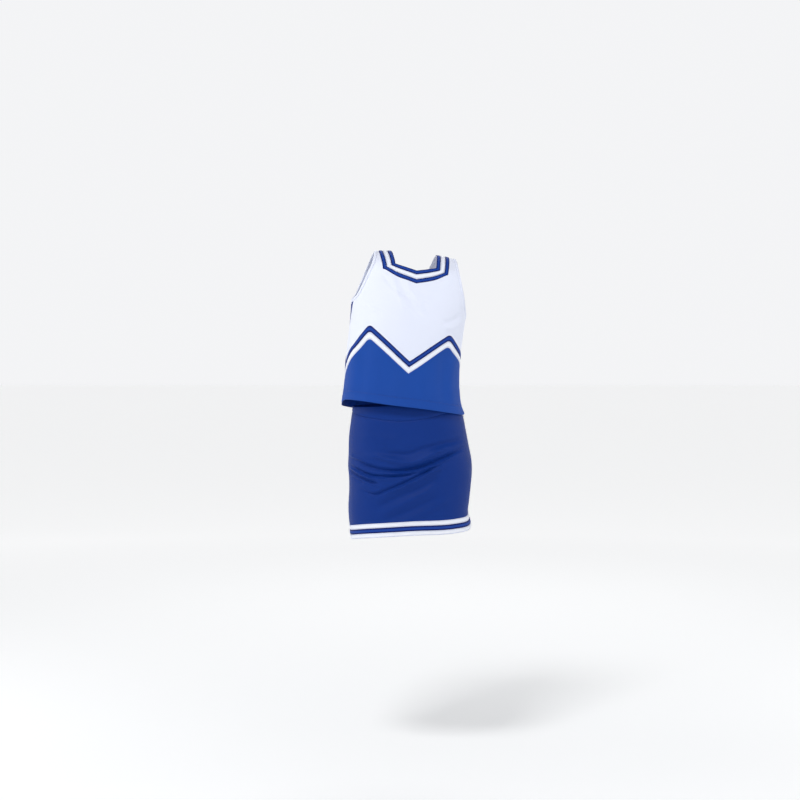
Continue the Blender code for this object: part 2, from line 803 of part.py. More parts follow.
def trimmed(path, low, high):
    """The part of a path whose first coordinate lies between two values."""
    kept = []
    for a, b in zip(path, path[1:]):
        steps = [(a, 0.0)]
        for value in (low, high):
            if (a[0] - value) * (b[0] - value) < 0:
                t = (value - a[0]) / (b[0] - a[0])
                steps.append(((value, a[1] + (b[1] - a[1]) * t), t))
        kept += [p for p, _ in sorted(steps, key=lambda step: step[1])]
    kept.append(path[-1])
    return [p for p in kept if low - 1e-9 <= p[0] <= high + 1e-9]


HEM_KEYS = (
    (-2.0, -0.0125),
    (-1.6, -0.0165),
    (-1.3, -0.0140),
    (-1.0, -0.0045),
    (-0.9, 0.0030),
    (-0.78, 0.0064),
    (-0.55, 0.0073),
    (-0.15, 0.0046),
    (0.3, 0.0017),
    (0.55, -0.0015),
    (0.8, -0.0035),
    (1.0, -0.0010),
    (1.5, -0.0070),
    (2.0, -0.0125),
)


def shell_hem(u):
    return hermite(HEM_KEYS, u / QUARTER)[0]


def hem_line(low, high, lift, count=22):
    return [(u, shell_hem(u) + lift) for u in spread(low, high, count)]


def gusset_tip(side):
    return run_at(ARMHOLE_LOW[side]) - BINDING - GUSSET_DROP


def side_edge(side, back):
    """The edge of an upper panel beside the gusset, from the gusset's point up to the armhole binding."""
    band = armhole_band(side, BINDING + GAP)
    half = band if not back else list(reversed(band))
    inner = QUARTER - GUSSET_HALF - GAP
    for a, b in zip(half, half[1:]):
        if abs(b[0]) <= inner:
            t = (abs(a[0]) - inner) / (abs(a[0]) - abs(b[0]))
            top = (side * inner, a[1] + (b[1] - a[1]) * t)
            break
    tau = gusset_tip(side) - TOP
    low = (side * (QUARTER - SEAM), -tau if back else tau)
    return low, top


def band_inside(side, back):
    """The armhole line of an upper panel from beside the gusset to just short of the shoulder line."""
    band = armhole_band(side, BINDING + GAP)
    limit = QUARTER - GUSSET_HALF - GAP
    if back:
        part = [p for p in reversed(band) if p[1] > SEAM and abs(p[0]) < limit]
    else:
        part = [p for p in band if p[1] < -SEAM and abs(p[0]) < limit]
    nearest = min(band, key=lambda p: abs(p[1]))
    return part + [(nearest[0], SEAM if back else -SEAM)]


def gusset_outline(side, band):
    """The wedge under the arm, in girdle coordinates. Its head follows the armhole's binding."""
    limit = QUARTER - GUSSET_HALF
    back_top, front_top = side_edge(side, True)[1], side_edge(side, False)[1]
    head = [(2 * QUARTER - limit, TOP - back_top[1])]
    head += [(2 * QUARTER - abs(s), TOP - tau) for s, tau in band if tau > 0 and abs(s) > limit + GAP]
    head += [(abs(s), TOP + tau) for s, tau in band[1:] if tau < 0 and abs(s) > limit + GAP]
    return [(QUARTER, gusset_tip(side) + 0.0022)] + head + [(limit, TOP + front_top[1])]


def build_shell(mats, parent):
    white, royal, navy = mats["white"], mats["royal"], mats["navy"]
    edge = chevron_front()
    up = QUARTER - SEAM

    neck = neckline()
    neck_front = [p for p in neck if p[1] < -SEAM]
    shoulder = {1: neck[4][0], -1: neck[-5][0]}

    # Front yoke: up one side, over the shoulder strap, round the neck and down the other side.
    def upper_side(side, back):
        low, top = side_edge(side, back)
        return [low, top] + band_inside(side, back)

    upper = stripe_edge(edge, CHEVRON_BLUE - SEAM)
    bottom = trimmed(upper, -up, up)
    outline = list(bottom)
    outline += upper_side(-1, False)
    outline += [(shoulder[-1], -SEAM)]
    outline += list(reversed(neck_front))
    outline += [(shoulder[1], -SEAM)]
    outline += list(reversed(upper_side(1, False)))
    cloth("front_yoke", SHELL, outline, 0.0, CLOTH, white, parent)

    lower = stripe_edge(edge, CHEVRON_BLUE + SEAM)
    outline = trimmed(lower, -up, up)
    outline += [(u, v - TOP) for u, v in hem_line(-up, up, 0.0, 16)]
    cloth("front_body_panel", SHELL, outline, 0.0, CLOTH, royal, parent)

    over = CLOTH + GAP
    blue_low = stripe_edge(edge, CHEVRON_BLUE - GAP)
    outline = trimmed(stripe_edge(edge, 0.0), -up, up) + list(reversed(trimmed(blue_low, -up, up)))
    cloth("front_chevron_blue", SHELL, outline, over, BRAID, navy, parent)
    white_top = stripe_edge(edge, CHEVRON_BLUE + GAP)
    white_low = stripe_edge(edge, CHEVRON_BLUE + CHEVRON_WHITE)
    outline = trimmed(white_top, -up, up) + list(reversed(trimmed(white_low, -up, up)))
    cloth("front_chevron_white", SHELL, outline, over, BRAID, white, parent)

    closed = run_at(0.004)
    for side, label in ((1, "left"), (-1, "right")):
        back_edge = chevron_back(side)
        sign = -side

        def moved(distance, back_edge=back_edge, sign=sign):
            return stripe_edge(back_edge, distance, sign)

        def part(path, inner, side=side):
            low, high = (inner, up) if side > 0 else (-up, -inner)
            return trimmed(path, low, high)

        # Upper back: from the side seam along the chevron to the zip, up it, round the neck and strap.
        outline = part(moved(CHEVRON_BLUE - SEAM), SLOT)
        half = neck[:5] if side > 0 else list(reversed(neck[-5:]))
        outline += [(side * SLOT, half[0][1])]
        outline += half[:4]
        outline += [(shoulder[side], SEAM)]
        outline += list(reversed(upper_side(side, True)))
        cloth(f"back_yoke_{label}", SHELL, outline, 0.0, CLOTH, white, parent)

        outline = part(moved(CHEVRON_BLUE + SEAM), SLOT)
        inner = 2 * QUARTER - SEAM
        outline += [(side * SLOT, TOP - closed - 0.003), (side * SEAM, TOP - closed)]
        hem = hem_line(QUARTER + SEAM, inner, 0.0, 8)
        outline += [(side * (2 * QUARTER - u), TOP - v) for u, v in reversed(hem)]
        cloth(f"back_body_panel_{label}", SHELL, outline, 0.0, CLOTH, royal, parent)

        edge_gap = SLOT + 0.0006
        outline = part(moved(0.0), edge_gap) + list(reversed(part(moved(CHEVRON_BLUE - GAP), edge_gap)))
        cloth(f"back_chevron_blue_{label}", SHELL, outline, over, BRAID, navy, parent)
        outline = part(moved(CHEVRON_BLUE + GAP), edge_gap)
        outline += list(reversed(part(moved(CHEVRON_BLUE + CHEVRON_WHITE), edge_gap)))
        cloth(f"back_chevron_white_{label}", SHELL, outline, over, BRAID, white, parent)

        # Armhole binding: a thick band that runs over the shoulder and closes on itself at the side seam.
        outline = armhole(side) + list(reversed(armhole_band(side, BINDING)))
        cloth(f"armhole_binding_{label}", SHELL, outline, -0.0008, 0.0026, white, parent)

        # Underarm gusset: a wedge across the side seam.
        band = armhole_band(side, BINDING + GAP)
        outline = [(side * u, v) for u, v in gusset_outline(side, band)]
        cloth(f"underarm_gusset_{label}", GIRDLE, outline, 0.0, CLOTH, navy, parent)

        # Zip tape behind the back opening.
        across = (0.0026, TAPE_EDGE)
        ends = (run_at(0.006), run_at(0.3005))
        outline = [(side * across[0], TOP - b) for b in ends]
        outline += [(side * across[1], TOP - b) for b in reversed(ends)]
        cloth(f"shell_zip_tape_{label}", SHELL, outline, -0.0008, TAPE, navy, parent)

    names = ("neck_braid_inner", "neck_braid_middle", "neck_braid_outer")
    for i, (name, mat) in enumerate(zip(names, (navy, white, navy))):
        inside, outside = neck_band(i * BRAID_WIDTH, (i + 1) * BRAID_WIDTH - 2 * GAP)
        cloth(name, SHELL, inside + list(reversed(outside)), over, BRAID, mat, parent)

    inside, outside = neck_band(0.0, 0.018)
    edge_stop = TAPE_EDGE + 0.001
    for line in (inside, outside):
        line[0] = (edge_stop, line[0][1])
        line[-1] = (-edge_stop, line[-1][1])
    cloth("neck_facing", SHELL, inside + list(reversed(outside)), -GAP - CLOTH, CLOTH, white, parent)

    stop = 2 * QUARTER - TAPE_EDGE - 0.001
    outline = hem_line(-stop, stop, 0.0012, 32)
    outline += list(reversed(hem_line(-stop, stop, 0.0012 + FACING, 32)))
    cloth("shell_hem_facing", GIRDLE, outline, -GAP - CLOTH, CLOTH, royal, parent)

    label_low, label_high = TOP - run_at(0.2780), TOP - run_at(0.2580)
    outline = [(-0.050, label_high), (-0.020, label_high), (-0.020, label_low), (-0.050, label_low)]
    cloth("neck_label", SHELL, outline, -0.0010, 0.0006, white, parent)


def build_shell_zip(mats, parent):
    low = shell_point(0.0, TOP - run_at(0.0125))
    high = shell_point(0.0, TOP - run_at(0.2960))
    up = (high - low).normalized()
    out = Vector((0.0, 1.0, 0.0))
    out = (out - up * out.dot(up)).normalized()
    length = (high - low).length
    zip_fastener("shell", ("left", "right"), low, up, out, length, length - 0.0085, parent, mats)

    # Hook and eye inside the neck, above the slider.
    place = shell_point(0.0, TOP - run_at(0.3035))
    frame = Matrix((out.cross(up), out, up)).transposed().to_euler()
    catch = holder("neck_catch", place, frame, parent)
    hook = [(0.0085, -0.0021, 0.0011), (0.0062, -0.0021, 0.0), (-0.0008, -0.0021, 0.0), (-0.0014, -0.0028, 0.0)]
    hook += [(-0.0008, -0.0036, 0.0), (0.0018, -0.0036, 0.0)]
    adopt("neck_hook", rod("neck_hook", hook, 0.00025, 1), mats[1], catch)
    eye = [(-0.0085, -0.0029, 0.0014), (0.0003, -0.0029, 0.0014)]
    eye += [(0.0003, -0.0029, -0.0014), (-0.0085, -0.0029, -0.0014)]
    adopt("neck_eye", rod("neck_eye", eye, 0.00025, 1), mats[1], catch)


# ---- the skirt ----

WAIST_SEAM = (
    (-1.0, -0.0150), (-0.5, -0.0290), (-0.1, -0.0382), (0.2, -0.0352), (0.5, -0.0265), (1.0, -0.0225), (1.6, -0.0290),
    (2.0, -0.0310),
)
SKIRT_HEM = (
    (-1.0, -0.3040), (-0.55, -0.2958), (-0.1, -0.2925), (0.5, -0.2948), (0.8, -0.2925), (1.0, -0.2835), (1.5, -0.2930),
    (2.0, -0.2965),
)
WAIST_TOP = -0.0040
SKIRT_ZIP = (-0.1280, -0.0300)


def around(keys, u):
    """A height round the skirt, keyed from the right side seam past the front to the back centre."""
    q = (u / QUARTER + 2.0) % 4.0 - 2.0
    rows = [(-2.0, keys[-1][1]), (-1.5, 0.5 * (keys[-1][1] + keys[0][1]))] + list(keys)
    return hermite(rows, q)[0]


def skirt_line(keys, low, high, lift, count):
    return [(u, around(keys, u) + lift) for u in spread(low, high, count)]


def build_skirt(mats, parent):
    white, blue, navy = mats["white"], mats["skirt"], mats["navy"]
    left = QUARTER
    turn = 4 * QUARTER
    zip_low, zip_high = SKIRT_ZIP
    drop = 0.0012

    def zip_edge(u, sign):
        return [(u + sign * SLOT, zip_low - 0.006), (u + sign * SEAM, zip_low - 0.009)]

    top = skirt_line(WAIST_SEAM, -left + SEAM, left - SLOT, -SEAM, 16)
    hem = skirt_line(SKIRT_HEM, -left + SEAM, left - SEAM, drop, 16)
    outline = top + zip_edge(left, -1) + list(reversed(hem))
    cloth("skirt_front_panel", SKIRT, outline, 0.0, CLOTH, blue, parent)

    top = skirt_line(WAIST_SEAM, left + SLOT, 3 * left - SEAM, -SEAM, 16)
    hem = skirt_line(SKIRT_HEM, left + SEAM, 3 * left - SEAM, drop, 16)
    outline = list(reversed(top)) + zip_edge(left, 1) + hem
    cloth("skirt_back_panel", SKIRT, outline, 0.0, CLOTH, blue, parent)

    start, end = left + 0.0006, 5 * left - 0.0006
    low = skirt_line(WAIST_SEAM, start, end, SEAM, 32)
    outline = low + [(u, WAIST_TOP) for u in spread(end, start, 32)]
    cloth("skirt_waistband", SKIRT, outline, 0.0, 0.0016, blue, parent)
    start, end = left + 0.006, 5 * left - 0.006
    low = skirt_line(WAIST_SEAM, start, end, 0.0015, 32)
    outline = low + [(u, WAIST_TOP - 0.001) for u in spread(end, start, 32)]
    cloth("skirt_waistband_facing", SKIRT, outline, -GAP - 0.0012, 0.0012, blue, parent)

    stripes = (
        ("hem_stripe_lower_white", 0.0, 0.0104, white),
        ("hem_stripe_middle_blue", 0.0110, 0.0208, navy),
        ("hem_stripe_upper_white", 0.0214, 0.0318, white),
    )
    for name, low, high, mat in stripes:
        ring = skirt_line(SKIRT_HEM, 0.0, turn, low, 32)
        ring += reversed(skirt_line(SKIRT_HEM, 0.0, turn, high, 32))
        cloth(name, SKIRT, ring, CLOTH + GAP, BRAID, mat, parent)
    ring = skirt_line(SKIRT_HEM, 0.0, turn, drop, 32)
    ring += reversed(skirt_line(SKIRT_HEM, 0.0, turn, 0.024, 32))
    cloth("skirt_hem_facing", SKIRT, ring, -GAP - CLOTH, CLOTH, blue, parent)

    for sign, label in ((-1, "front"), (1, "back")):
        near, far = left + sign * 0.0026, left + sign * TAPE_EDGE
        ends = (zip_low - 0.006, zip_high + 0.0045)
        outline = [(near, ends[0]), (far, ends[0]), (far, ends[1]), (near, ends[1])]
        cloth(f"skirt_zip_tape_{label}", SKIRT, outline, -0.0008, TAPE, navy, parent)

    centre = 2 * left + 0.05
    outline = [(centre, -0.048), (centre + 0.03, -0.048), (centre + 0.03, -0.068), (centre, -0.068)]
    cloth("waist_label", SKIRT, outline, -0.0010, 0.0006, white, parent)


def build_skirt_zip(mats, parent):
    low = skirt_point(QUARTER, SKIRT_ZIP[0])
    high = skirt_point(QUARTER, SKIRT_ZIP[1])
    up = (high - low).normalized()
    out = Vector((1.0, 0.0, 0.0))
    out = (out - up * out.dot(up)).normalized()
    length = (high - low).length
    zip_fastener("skirt", ("front", "back"), low, up, out, length, length - 0.0085, parent, mats)

    place = skirt_point(QUARTER, -0.0135)
    frame = Matrix((out.cross(up), out, up)).transposed().to_euler()
    catch = holder("waist_catch", place, frame, parent)
    hook = [(0.0085, -0.0036), (-0.0018, -0.0036), (-0.0025, -0.0044), (-0.0018, -0.0052), (0.0015, -0.0052)]

    def strip(bm):
        width = 0.0035
        path = [Vector((*p, 0.0)) for p in hook]
        sides = []
        for i, p in enumerate(path):
            before, after = path[max(0, i - 1)], path[min(len(path) - 1, i + 1)]
            across = (after - before).normalized().cross(Vector((0, 0, 1)))
            sides.append((p - across * 0.0002, p + across * 0.0002))
        outline = [a for a, _ in sides] + [b for _, b in reversed(sides)]
        prism(bm, [(p.x, p.y) for p in outline], -width, width, "z")

    hard("waist_hook", strip, mats[1], catch)
    bar = [(-0.0085, -0.0044, 0.0055), (-0.0004, -0.0044, 0.0055)]
    bar += [(-0.0004, -0.0044, -0.0055), (-0.0085, -0.0044, -0.0055)]
    adopt("waist_bar", rod("waist_bar", bar, 0.00035, 1), mats[1], catch)


def main():
    clear_scene()
    mats = {
        "white": material("white double knit", WHITE, 0.85),
        "royal": material("royal blue double knit", ROYAL, 0.80),
        "navy": material("blue braid", NAVY, 0.80),
        "skirt": material("blue skirt double knit", SKIRT_BLUE, 0.80),
    }
    coil = material("nylon coil", NAVY, 0.45)
    steel = material("nickel plate", STEEL, 0.30, 1.0)
    shell = holder("shell_pose", SHELL_PIVOT, Euler(SHELL_TURN))
    skirt = holder("skirt_pose", SKIRT_PIVOT, Euler(SKIRT_TURN))
    build_shell(mats, shell)
    build_shell_zip((coil, steel), shell)
    build_skirt(mats, skirt)
    build_skirt_zip((coil, steel), skirt)


main()
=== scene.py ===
"""The looks of a cheer uniform, a sleeveless shell top over a fitted skirt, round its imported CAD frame.

Metres, +Z up. The front faces -Y and the wearer's left is +X. Cloth pieces are patterns cut on two smooth
skins, the shell's and the skirt's. Folds move the skins themselves, so layers at one place move together.
"""

import math

import bpy
import numpy as np
from mathutils import Euler, Matrix, Vector
from mathutils.geometry import delaunay_2d_cdt


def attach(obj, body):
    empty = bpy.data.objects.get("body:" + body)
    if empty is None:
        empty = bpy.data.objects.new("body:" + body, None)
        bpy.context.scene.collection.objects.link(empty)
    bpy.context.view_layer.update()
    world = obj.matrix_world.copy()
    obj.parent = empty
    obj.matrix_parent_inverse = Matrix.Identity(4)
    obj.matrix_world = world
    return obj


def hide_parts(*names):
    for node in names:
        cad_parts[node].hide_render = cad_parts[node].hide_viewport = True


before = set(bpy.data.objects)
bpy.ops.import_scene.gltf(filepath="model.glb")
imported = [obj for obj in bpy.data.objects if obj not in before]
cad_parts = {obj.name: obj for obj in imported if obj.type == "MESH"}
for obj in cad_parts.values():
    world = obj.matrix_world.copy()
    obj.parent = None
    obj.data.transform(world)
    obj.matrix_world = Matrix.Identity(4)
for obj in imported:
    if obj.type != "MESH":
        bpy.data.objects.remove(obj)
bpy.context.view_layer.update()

# ---- camera ----
CAMERA_AWAY = 4.0
VIEW_WIDTH = 1.816
AIM = Vector((-0.018, 0.0, 0.0045))
CAMERA_HEIGHT = 0.150
FLOOR = -0.80

# ---- thicknesses and offsets from the skin ----
CLOTH = 0.0010
GAP = 0.0003
SEAM = 0.0002
BRAID_BASE = 0.0009
FACING_BASE = -0.0012
TAPE_LOW, TAPE_HIGH = -0.0008, -0.0002
LABEL_LOW, LABEL_HIGH = -0.0011, -0.0004

# ---- pattern sizes, as cut ----
BRAID_WIDTH = 0.0100
CHEVRON_BLUE = 0.0105
CHEVRON_WHITE = 0.0115
BINDING = 0.0070
FACING = 0.0200
SLOT = 0.0044
TAPE_NEAR, TAPE_EDGE = 0.0026, 0.0140
ZIP_STITCH = SLOT + 0.0022
ON_CLOTH = 0.0012
GUSSET_HALF = 0.0250
GUSSET_DROP = 0.0480
PITCH = 0.0021
STRIP_PITCH = 0.0013
COARSE_PITCH = 0.0020
WELD_CELLS = 2e5

# ---- how each garment sits on the wearer ----
SHELL_PIVOT = (-0.0170, 0.0, -0.0110)
SHELL_TURN = (0.0, math.radians(5.5), math.radians(6.0))
SKIRT_PIVOT = (-0.0028, 0.0, 0.0)
SKIRT_TURN = (0.0, math.radians(-2.7), math.radians(4.0))

# ---- sections: height, half width to the wearer's right, to the left, front depth, back depth ----
SHELL_ROWS = (
    (-0.022, 0.1350, 0.1530, 0.1115, 0.1060),
    (0.000, 0.1335, 0.1440, 0.1085, 0.1040),
    (0.014, 0.1325, 0.1375, 0.1062, 0.1027),
    (0.050, 0.1312, 0.1290, 0.1010, 0.0995),
    (0.090, 0.1318, 0.1245, 0.0968, 0.0959),
    (0.130, 0.1322, 0.1224, 0.0972, 0.0923),
    (0.165, 0.1315, 0.1238, 0.0985, 0.0891),
    (0.205, 0.1320, 0.1258, 0.0970, 0.0855),
    (0.245, 0.1335, 0.1284, 0.0900, 0.0819),
    (0.280, 0.1340, 0.1312, 0.0785, 0.0788),
    (0.300, 0.1345, 0.1330, 0.0705, 0.0770),
    (0.318, 0.1350, 0.1345, 0.0595, 0.0680),
    (0.332, 0.1350, 0.1350, 0.0430, 0.0530),
    (0.343, 0.1350, 0.1350, 0.0235, 0.0310),
    (0.3475, 0.1350, 0.1350, 0.0105, 0.0130),
    (0.349, 0.1350, 0.1350, 0.0000, 0.0000),
)
SKIRT_ROWS = (
    (-0.330, 0.1395, 0.1310, 0.1120, 0.1140),
    (-0.304, 0.1400, 0.1315, 0.1115, 0.1140),
    (-0.278, 0.1412, 0.1310, 0.1105, 0.1140),
    (-0.258, 0.1430, 0.1262, 0.1090, 0.1140),
    (-0.230, 0.1425, 0.1295, 0.1085, 0.1145),
    (-0.195, 0.1395, 0.1350, 0.1085, 0.1165),
    (-0.165, 0.1390, 0.1395, 0.1085, 0.1180),
    (-0.140, 0.1400, 0.1400, 0.1080, 0.1175),
    (-0.110, 0.1370, 0.1357, 0.1065, 0.1140),
    (-0.065, 0.1325, 0.1292, 0.0990, 0.1050),
    (-0.033, 0.1270, 0.1237, 0.0925, 0.0950),
    (-0.022, 0.1250, 0.1210, 0.0905, 0.0920),
    (0.000, 0.1205, 0.1145, 0.0875, 0.0885),
    (0.012, 0.1190, 0.1110, 0.0865, 0.0875),
)
ROUNDNESS = 2.35
SECTION = (0.130, 0.097)
STRAP_PULL = 0.0080
SHOULDER_SLOPE = 1.2


def srgb(red, green, blue):
    """A display colour as a linear one with alpha."""
    out = []
    for c in (red, green, blue):
        c /= 255
        out.append(c / 12.92 if c <= 0.04045 else ((c + 0.055) / 1.055) ** 2.4)
    return (*out, 1.0)


# ---- tables and skins ----


class Table:
    """Smooth reading of rows (x, y1, y2, ...), with slopes taken from the neighbours."""

    def __init__(self, rows):
        rows = np.array(rows, dtype=float)
        self.x, self.y = rows[:, 0], rows[:, 1:]
        self.step = np.diff(self.x)[:, None]
        rise = np.diff(self.y, axis=0) / self.step
        self.slope = np.vstack([rise[:1], rise])
        left, right = self.step[:-1], self.step[1:]
        self.slope[1:-1] = (rise[:-1] * right + rise[1:] * left) / (left + right)

    def __call__(self, x):
        x = np.asarray(x, dtype=float)
        i = np.clip(np.searchsorted(self.x, x, side="left") - 1, 0, len(self.x) - 2)
        step = self.step[i]
        t = ((x - self.x[i])[..., None]) / step
        y0, y1, m0, m1 = self.y[i], self.y[i + 1], self.slope[i] * step, self.slope[i + 1] * step
        inside = y0 * (2 * t**3 - 3 * t**2 + 1) + m0 * (t**3 - 2 * t**2 + t) + y1 * (3 * t**2 - 2 * t**3)
        inside = inside + m1 * (t**3 - t**2)
        return np.where(t < 0, y0 + m0 * t, inside)


def smoothstep(low, high, x):
    t = np.clip((x - low) / (high - low), 0.0, 1.0)
    return t * t * (3 - 2 * t)


def chords(points):
    """How far each point is along the path through them."""
    return np.concatenate([[0.0], np.cumsum(np.hypot(*np.diff(points, axis=0).T))])


turn = np.linspace(0.0, 0.5 * math.pi, 361)
SECTION_X = np.sin(turn) ** (2 / ROUNDNESS)
SECTION_Y = np.clip(np.cos(turn), 0.0, 1.0) ** (2 / ROUNDNESS)
SECTION_X[-1], SECTION_Y[-1] = 1.0, 0.0
SECTION_ARC = chords(np.column_stack([SECTION_X * SECTION[0], SECTION_Y * SECTION[1]]))
QUARTER = float(SECTION_ARC[-1])


def cloth_runs():
    """The shell's rows keyed by the length of cloth up from the hem."""
    runs = [0.0]
    for before, row in zip(SHELL_ROWS, SHELL_ROWS[1:]):
        depth = 0.5 * (row[3] + row[4] - before[3] - before[4])
        runs.append(runs[-1] + math.hypot(row[0] - before[0], depth))
    return [(run - runs[1],) + row for run, row in zip(runs, SHELL_ROWS)]


SHELL_KEYS = cloth_runs()
SHELL_TABLE = Table(SHELL_KEYS)
SKIRT_TABLE = Table(SKIRT_ROWS)
TOP = SHELL_KEYS[-1][0]


def section_place(s, ahead, right, left, front, back):
    """x and y of the place s along a quarter section, on its front half where ahead is true."""
    x = np.where(s > 0, left, -right) * np.interp(np.abs(s), SECTION_ARC, SECTION_X)
    return x, np.where(ahead, -front, back) * np.interp(np.abs(s), SECTION_ARC, SECTION_Y)


def shell_point(s, tau):
    """s runs across from the centre. tau is 0 on the shoulder line, less down the front, more down the back."""
    z, *sizes = np.moveaxis(SHELL_TABLE(TOP - np.abs(tau)), -1, 0)
    x, y = section_place(s, tau <= 0, *sizes)
    pull = np.exp(-(((np.abs(x) - 0.075) / 0.022) ** 2) - ((z - 0.296) / 0.026) ** 2)
    drop = SHOULDER_SLOPE * np.maximum(0.0, np.abs(x) - 0.03) ** 2 * smoothstep(0.24, 0.34, z)
    return np.stack([x, y, z + STRAP_PULL * pull * smoothstep(0.0, 0.02, -tau) - drop], axis=-1)


def wrapped(u):
    """A place round the body, brought between -2 and 2 quarters from the front centre."""
    return (u + 2 * QUARTER) % (4 * QUARTER) - 2 * QUARTER


def from_centre(u):
    """How far a place round the body is from the centre line of its own half, front or back."""
    return np.where(np.abs(u) <= QUARTER, u, np.sign(u) * (2 * QUARTER - np.abs(u)))


def skirt_point(u, z):
    """u runs right round the skirt from the front centre, towards the wearer's left."""
    u = wrapped(u)
    x, y = section_place(from_centre(u), np.abs(u) <= QUARTER, *np.moveaxis(SKIRT_TABLE(z), -1, 0))
    return np.stack([x, y, z + 0.0 * x], axis=-1)


def strap_from_ring(u, v):
    """Ring coordinates of the shell, right round and up from the hem, as strap coordinates."""
    return from_centre(u), np.where(np.abs(u) <= QUARTER, v - TOP, TOP - v)


def smooth_path(points, per_span=6):
    """A smooth open path through the points, keyed by its chord length."""
    chord = chords(points)
    table = Table(np.column_stack([chord, points]))
    return table(np.linspace(0.0, chord[-1], per_span * (len(points) - 1) + 1))


def nearest(a, b, path):
    """How far places in the plane (a, b) are from a path and along it, and the length of the path."""
    near, along, run = np.full(a.shape, 1e9), np.zeros(a.shape), 0.0
    for p, q in zip(path, path[1:]):
        length = math.hypot(*(q - p))
        d = (q - p) / length
        t = np.clip((a - p[0]) * d[0] + (b - p[1]) * d[1], 0.0, length)
        away = np.hypot(a - p[0] - t * d[0], b - p[1] - t * d[1])
        closer = away < near
        near = np.where(closer, away, near)
        along = np.where(closer, run + t, along)
        run += length
    return near, along, run


def ridge(a, b, path, width, height, fade=0.22):
    """A rounded fold along a path in the plane (a, b), dying away at both ends."""
    near, along, total = nearest(a, b, smooth_path(path))
    ends = smoothstep(0.0, fade, along / total) * smoothstep(0.0, fade, 1.0 - along / total)
    return height * ends * np.exp(-((near / width) ** 2))


def folds(a, b, table):
    return sum(ridge(a, b, *fold) for fold in table)


# How the folds in the tables stand out, and the room that the shell leaves for the hook at the waist.
SHELL_FOLD_DEPTH = 1.6
SKIRT_FOLD_DEPTH = 2.1
SKIRT_BACK_SHARE = 0.5
HOOK_ROOM = 0.0016
SEAM_DIP = 0.0005
SEAM_WIDTH = 0.0016

# Folds of the shell's front, in its own x and z: path, half width, height.
SHELL_FRONT_FOLDS = (
    ([(-0.046, 0.300), (-0.030, 0.262), (0.000, 0.228), (0.036, 0.205)], 0.0080, -0.0013),
    ([(-0.052, 0.292), (-0.040, 0.250), (-0.020, 0.212)], 0.0070, 0.0009),
    ([(-0.030, 0.290), (-0.004, 0.254), (0.034, 0.232)], 0.0090, 0.0010),
    ([(0.112, 0.225), (0.090, 0.205), (0.060, 0.196)], 0.0060, -0.0014),
    ([(0.116, 0.208), (0.094, 0.190), (0.066, 0.184)], 0.0060, 0.0011),
    ([(-0.118, 0.232), (-0.094, 0.212), (-0.066, 0.204)], 0.0060, -0.0010),
    ([(-0.080, 0.296), (-0.060, 0.274), (-0.026, 0.252), (0.006, 0.246)], 0.0060, -0.0010),
    ([(-0.122, 0.140), (-0.118, 0.080), (-0.120, 0.010)], 0.0110, 0.0022),
    ([(-0.098, 0.150), (-0.097, 0.080), (-0.101, -0.004)], 0.0120, -0.0012),
    ([(0.080, 0.140), (0.078, 0.075), (0.088, 0.006)], 0.0120, -0.0013),
    ([(0.104, 0.130), (0.100, 0.060), (0.112, 0.004)], 0.0090, 0.0012),
    ([(0.030, 0.110), (0.034, 0.060), (0.040, 0.000)], 0.0160, 0.0008),
    ([(-0.040, 0.100), (-0.044, 0.050), (-0.050, 0.004)], 0.0180, -0.0007),
)
SHELL_BACK_FOLDS = (
    ([(0.020, 0.250), (0.050, 0.215), (0.086, 0.196)], 0.0080, -0.0011),
    ([(-0.020, 0.250), (-0.052, 0.214), (-0.090, 0.200)], 0.0080, -0.0012),
    ([(0.060, 0.120), (0.064, 0.060), (0.070, 0.004)], 0.0130, 0.0016),
    ([(-0.064, 0.120), (-0.066, 0.060), (-0.074, 0.004)], 0.0130, 0.0015),
    ([(0.030, 0.064), (0.070, 0.052), (0.110, 0.060)], 0.0080, -0.0012),
    ([(-0.030, 0.060), (-0.070, 0.048), (-0.112, 0.058)], 0.0080, -0.0012),
)


def seam_line(away):
    """A shallow dip along a seam, by the distance from it."""
    return SEAM_DIP * np.exp(-((away / SEAM_WIDTH) ** 2))


def shell_swell(s, tau, place, world):
    """How far the shell stands off its smooth skin: slow waves, folds, side seams and the zip's pucker."""
    run, side = TOP - np.abs(tau), QUARTER - np.abs(s)
    front = tau <= 0
    x, z = place[..., 0], place[..., 2]
    rise = 0.0007 * np.sin(37 * s + 8 * run + 0.6) + 0.0004 * np.sin(58 * s - 23 * run + 2.1)
    rise = rise + 0.0004 * np.sin(29 * run + 17 * s + np.where(front, 0.4, 2.2))
    rise = rise * smoothstep(0.0, 0.05, side) * smoothstep(0.0, 0.06, np.abs(tau))
    rise = rise * np.where(front, 1.0, smoothstep(0.006, 0.040, np.abs(s)))
    creases = np.where(front, folds(x, z, SHELL_FRONT_FOLDS), folds(x, z, SHELL_BACK_FOLDS))
    rise = rise + SHELL_FOLD_DEPTH * creases * smoothstep(0.0, 0.012, side)
    seam = seam_line(side) * (1 - smoothstep(0.155, 0.175, run))
    pucker = 0.00025 * (np.sin(210 * run) - 1.0) * np.exp(-np.abs(s) / 0.012) * (1 - front)
    hook = np.exp(-(((QUARTER - s) / 0.016) ** 2) - ((z + 0.012) / 0.018) ** 2)
    return rise - seam + pucker + HOOK_ROOM * hook


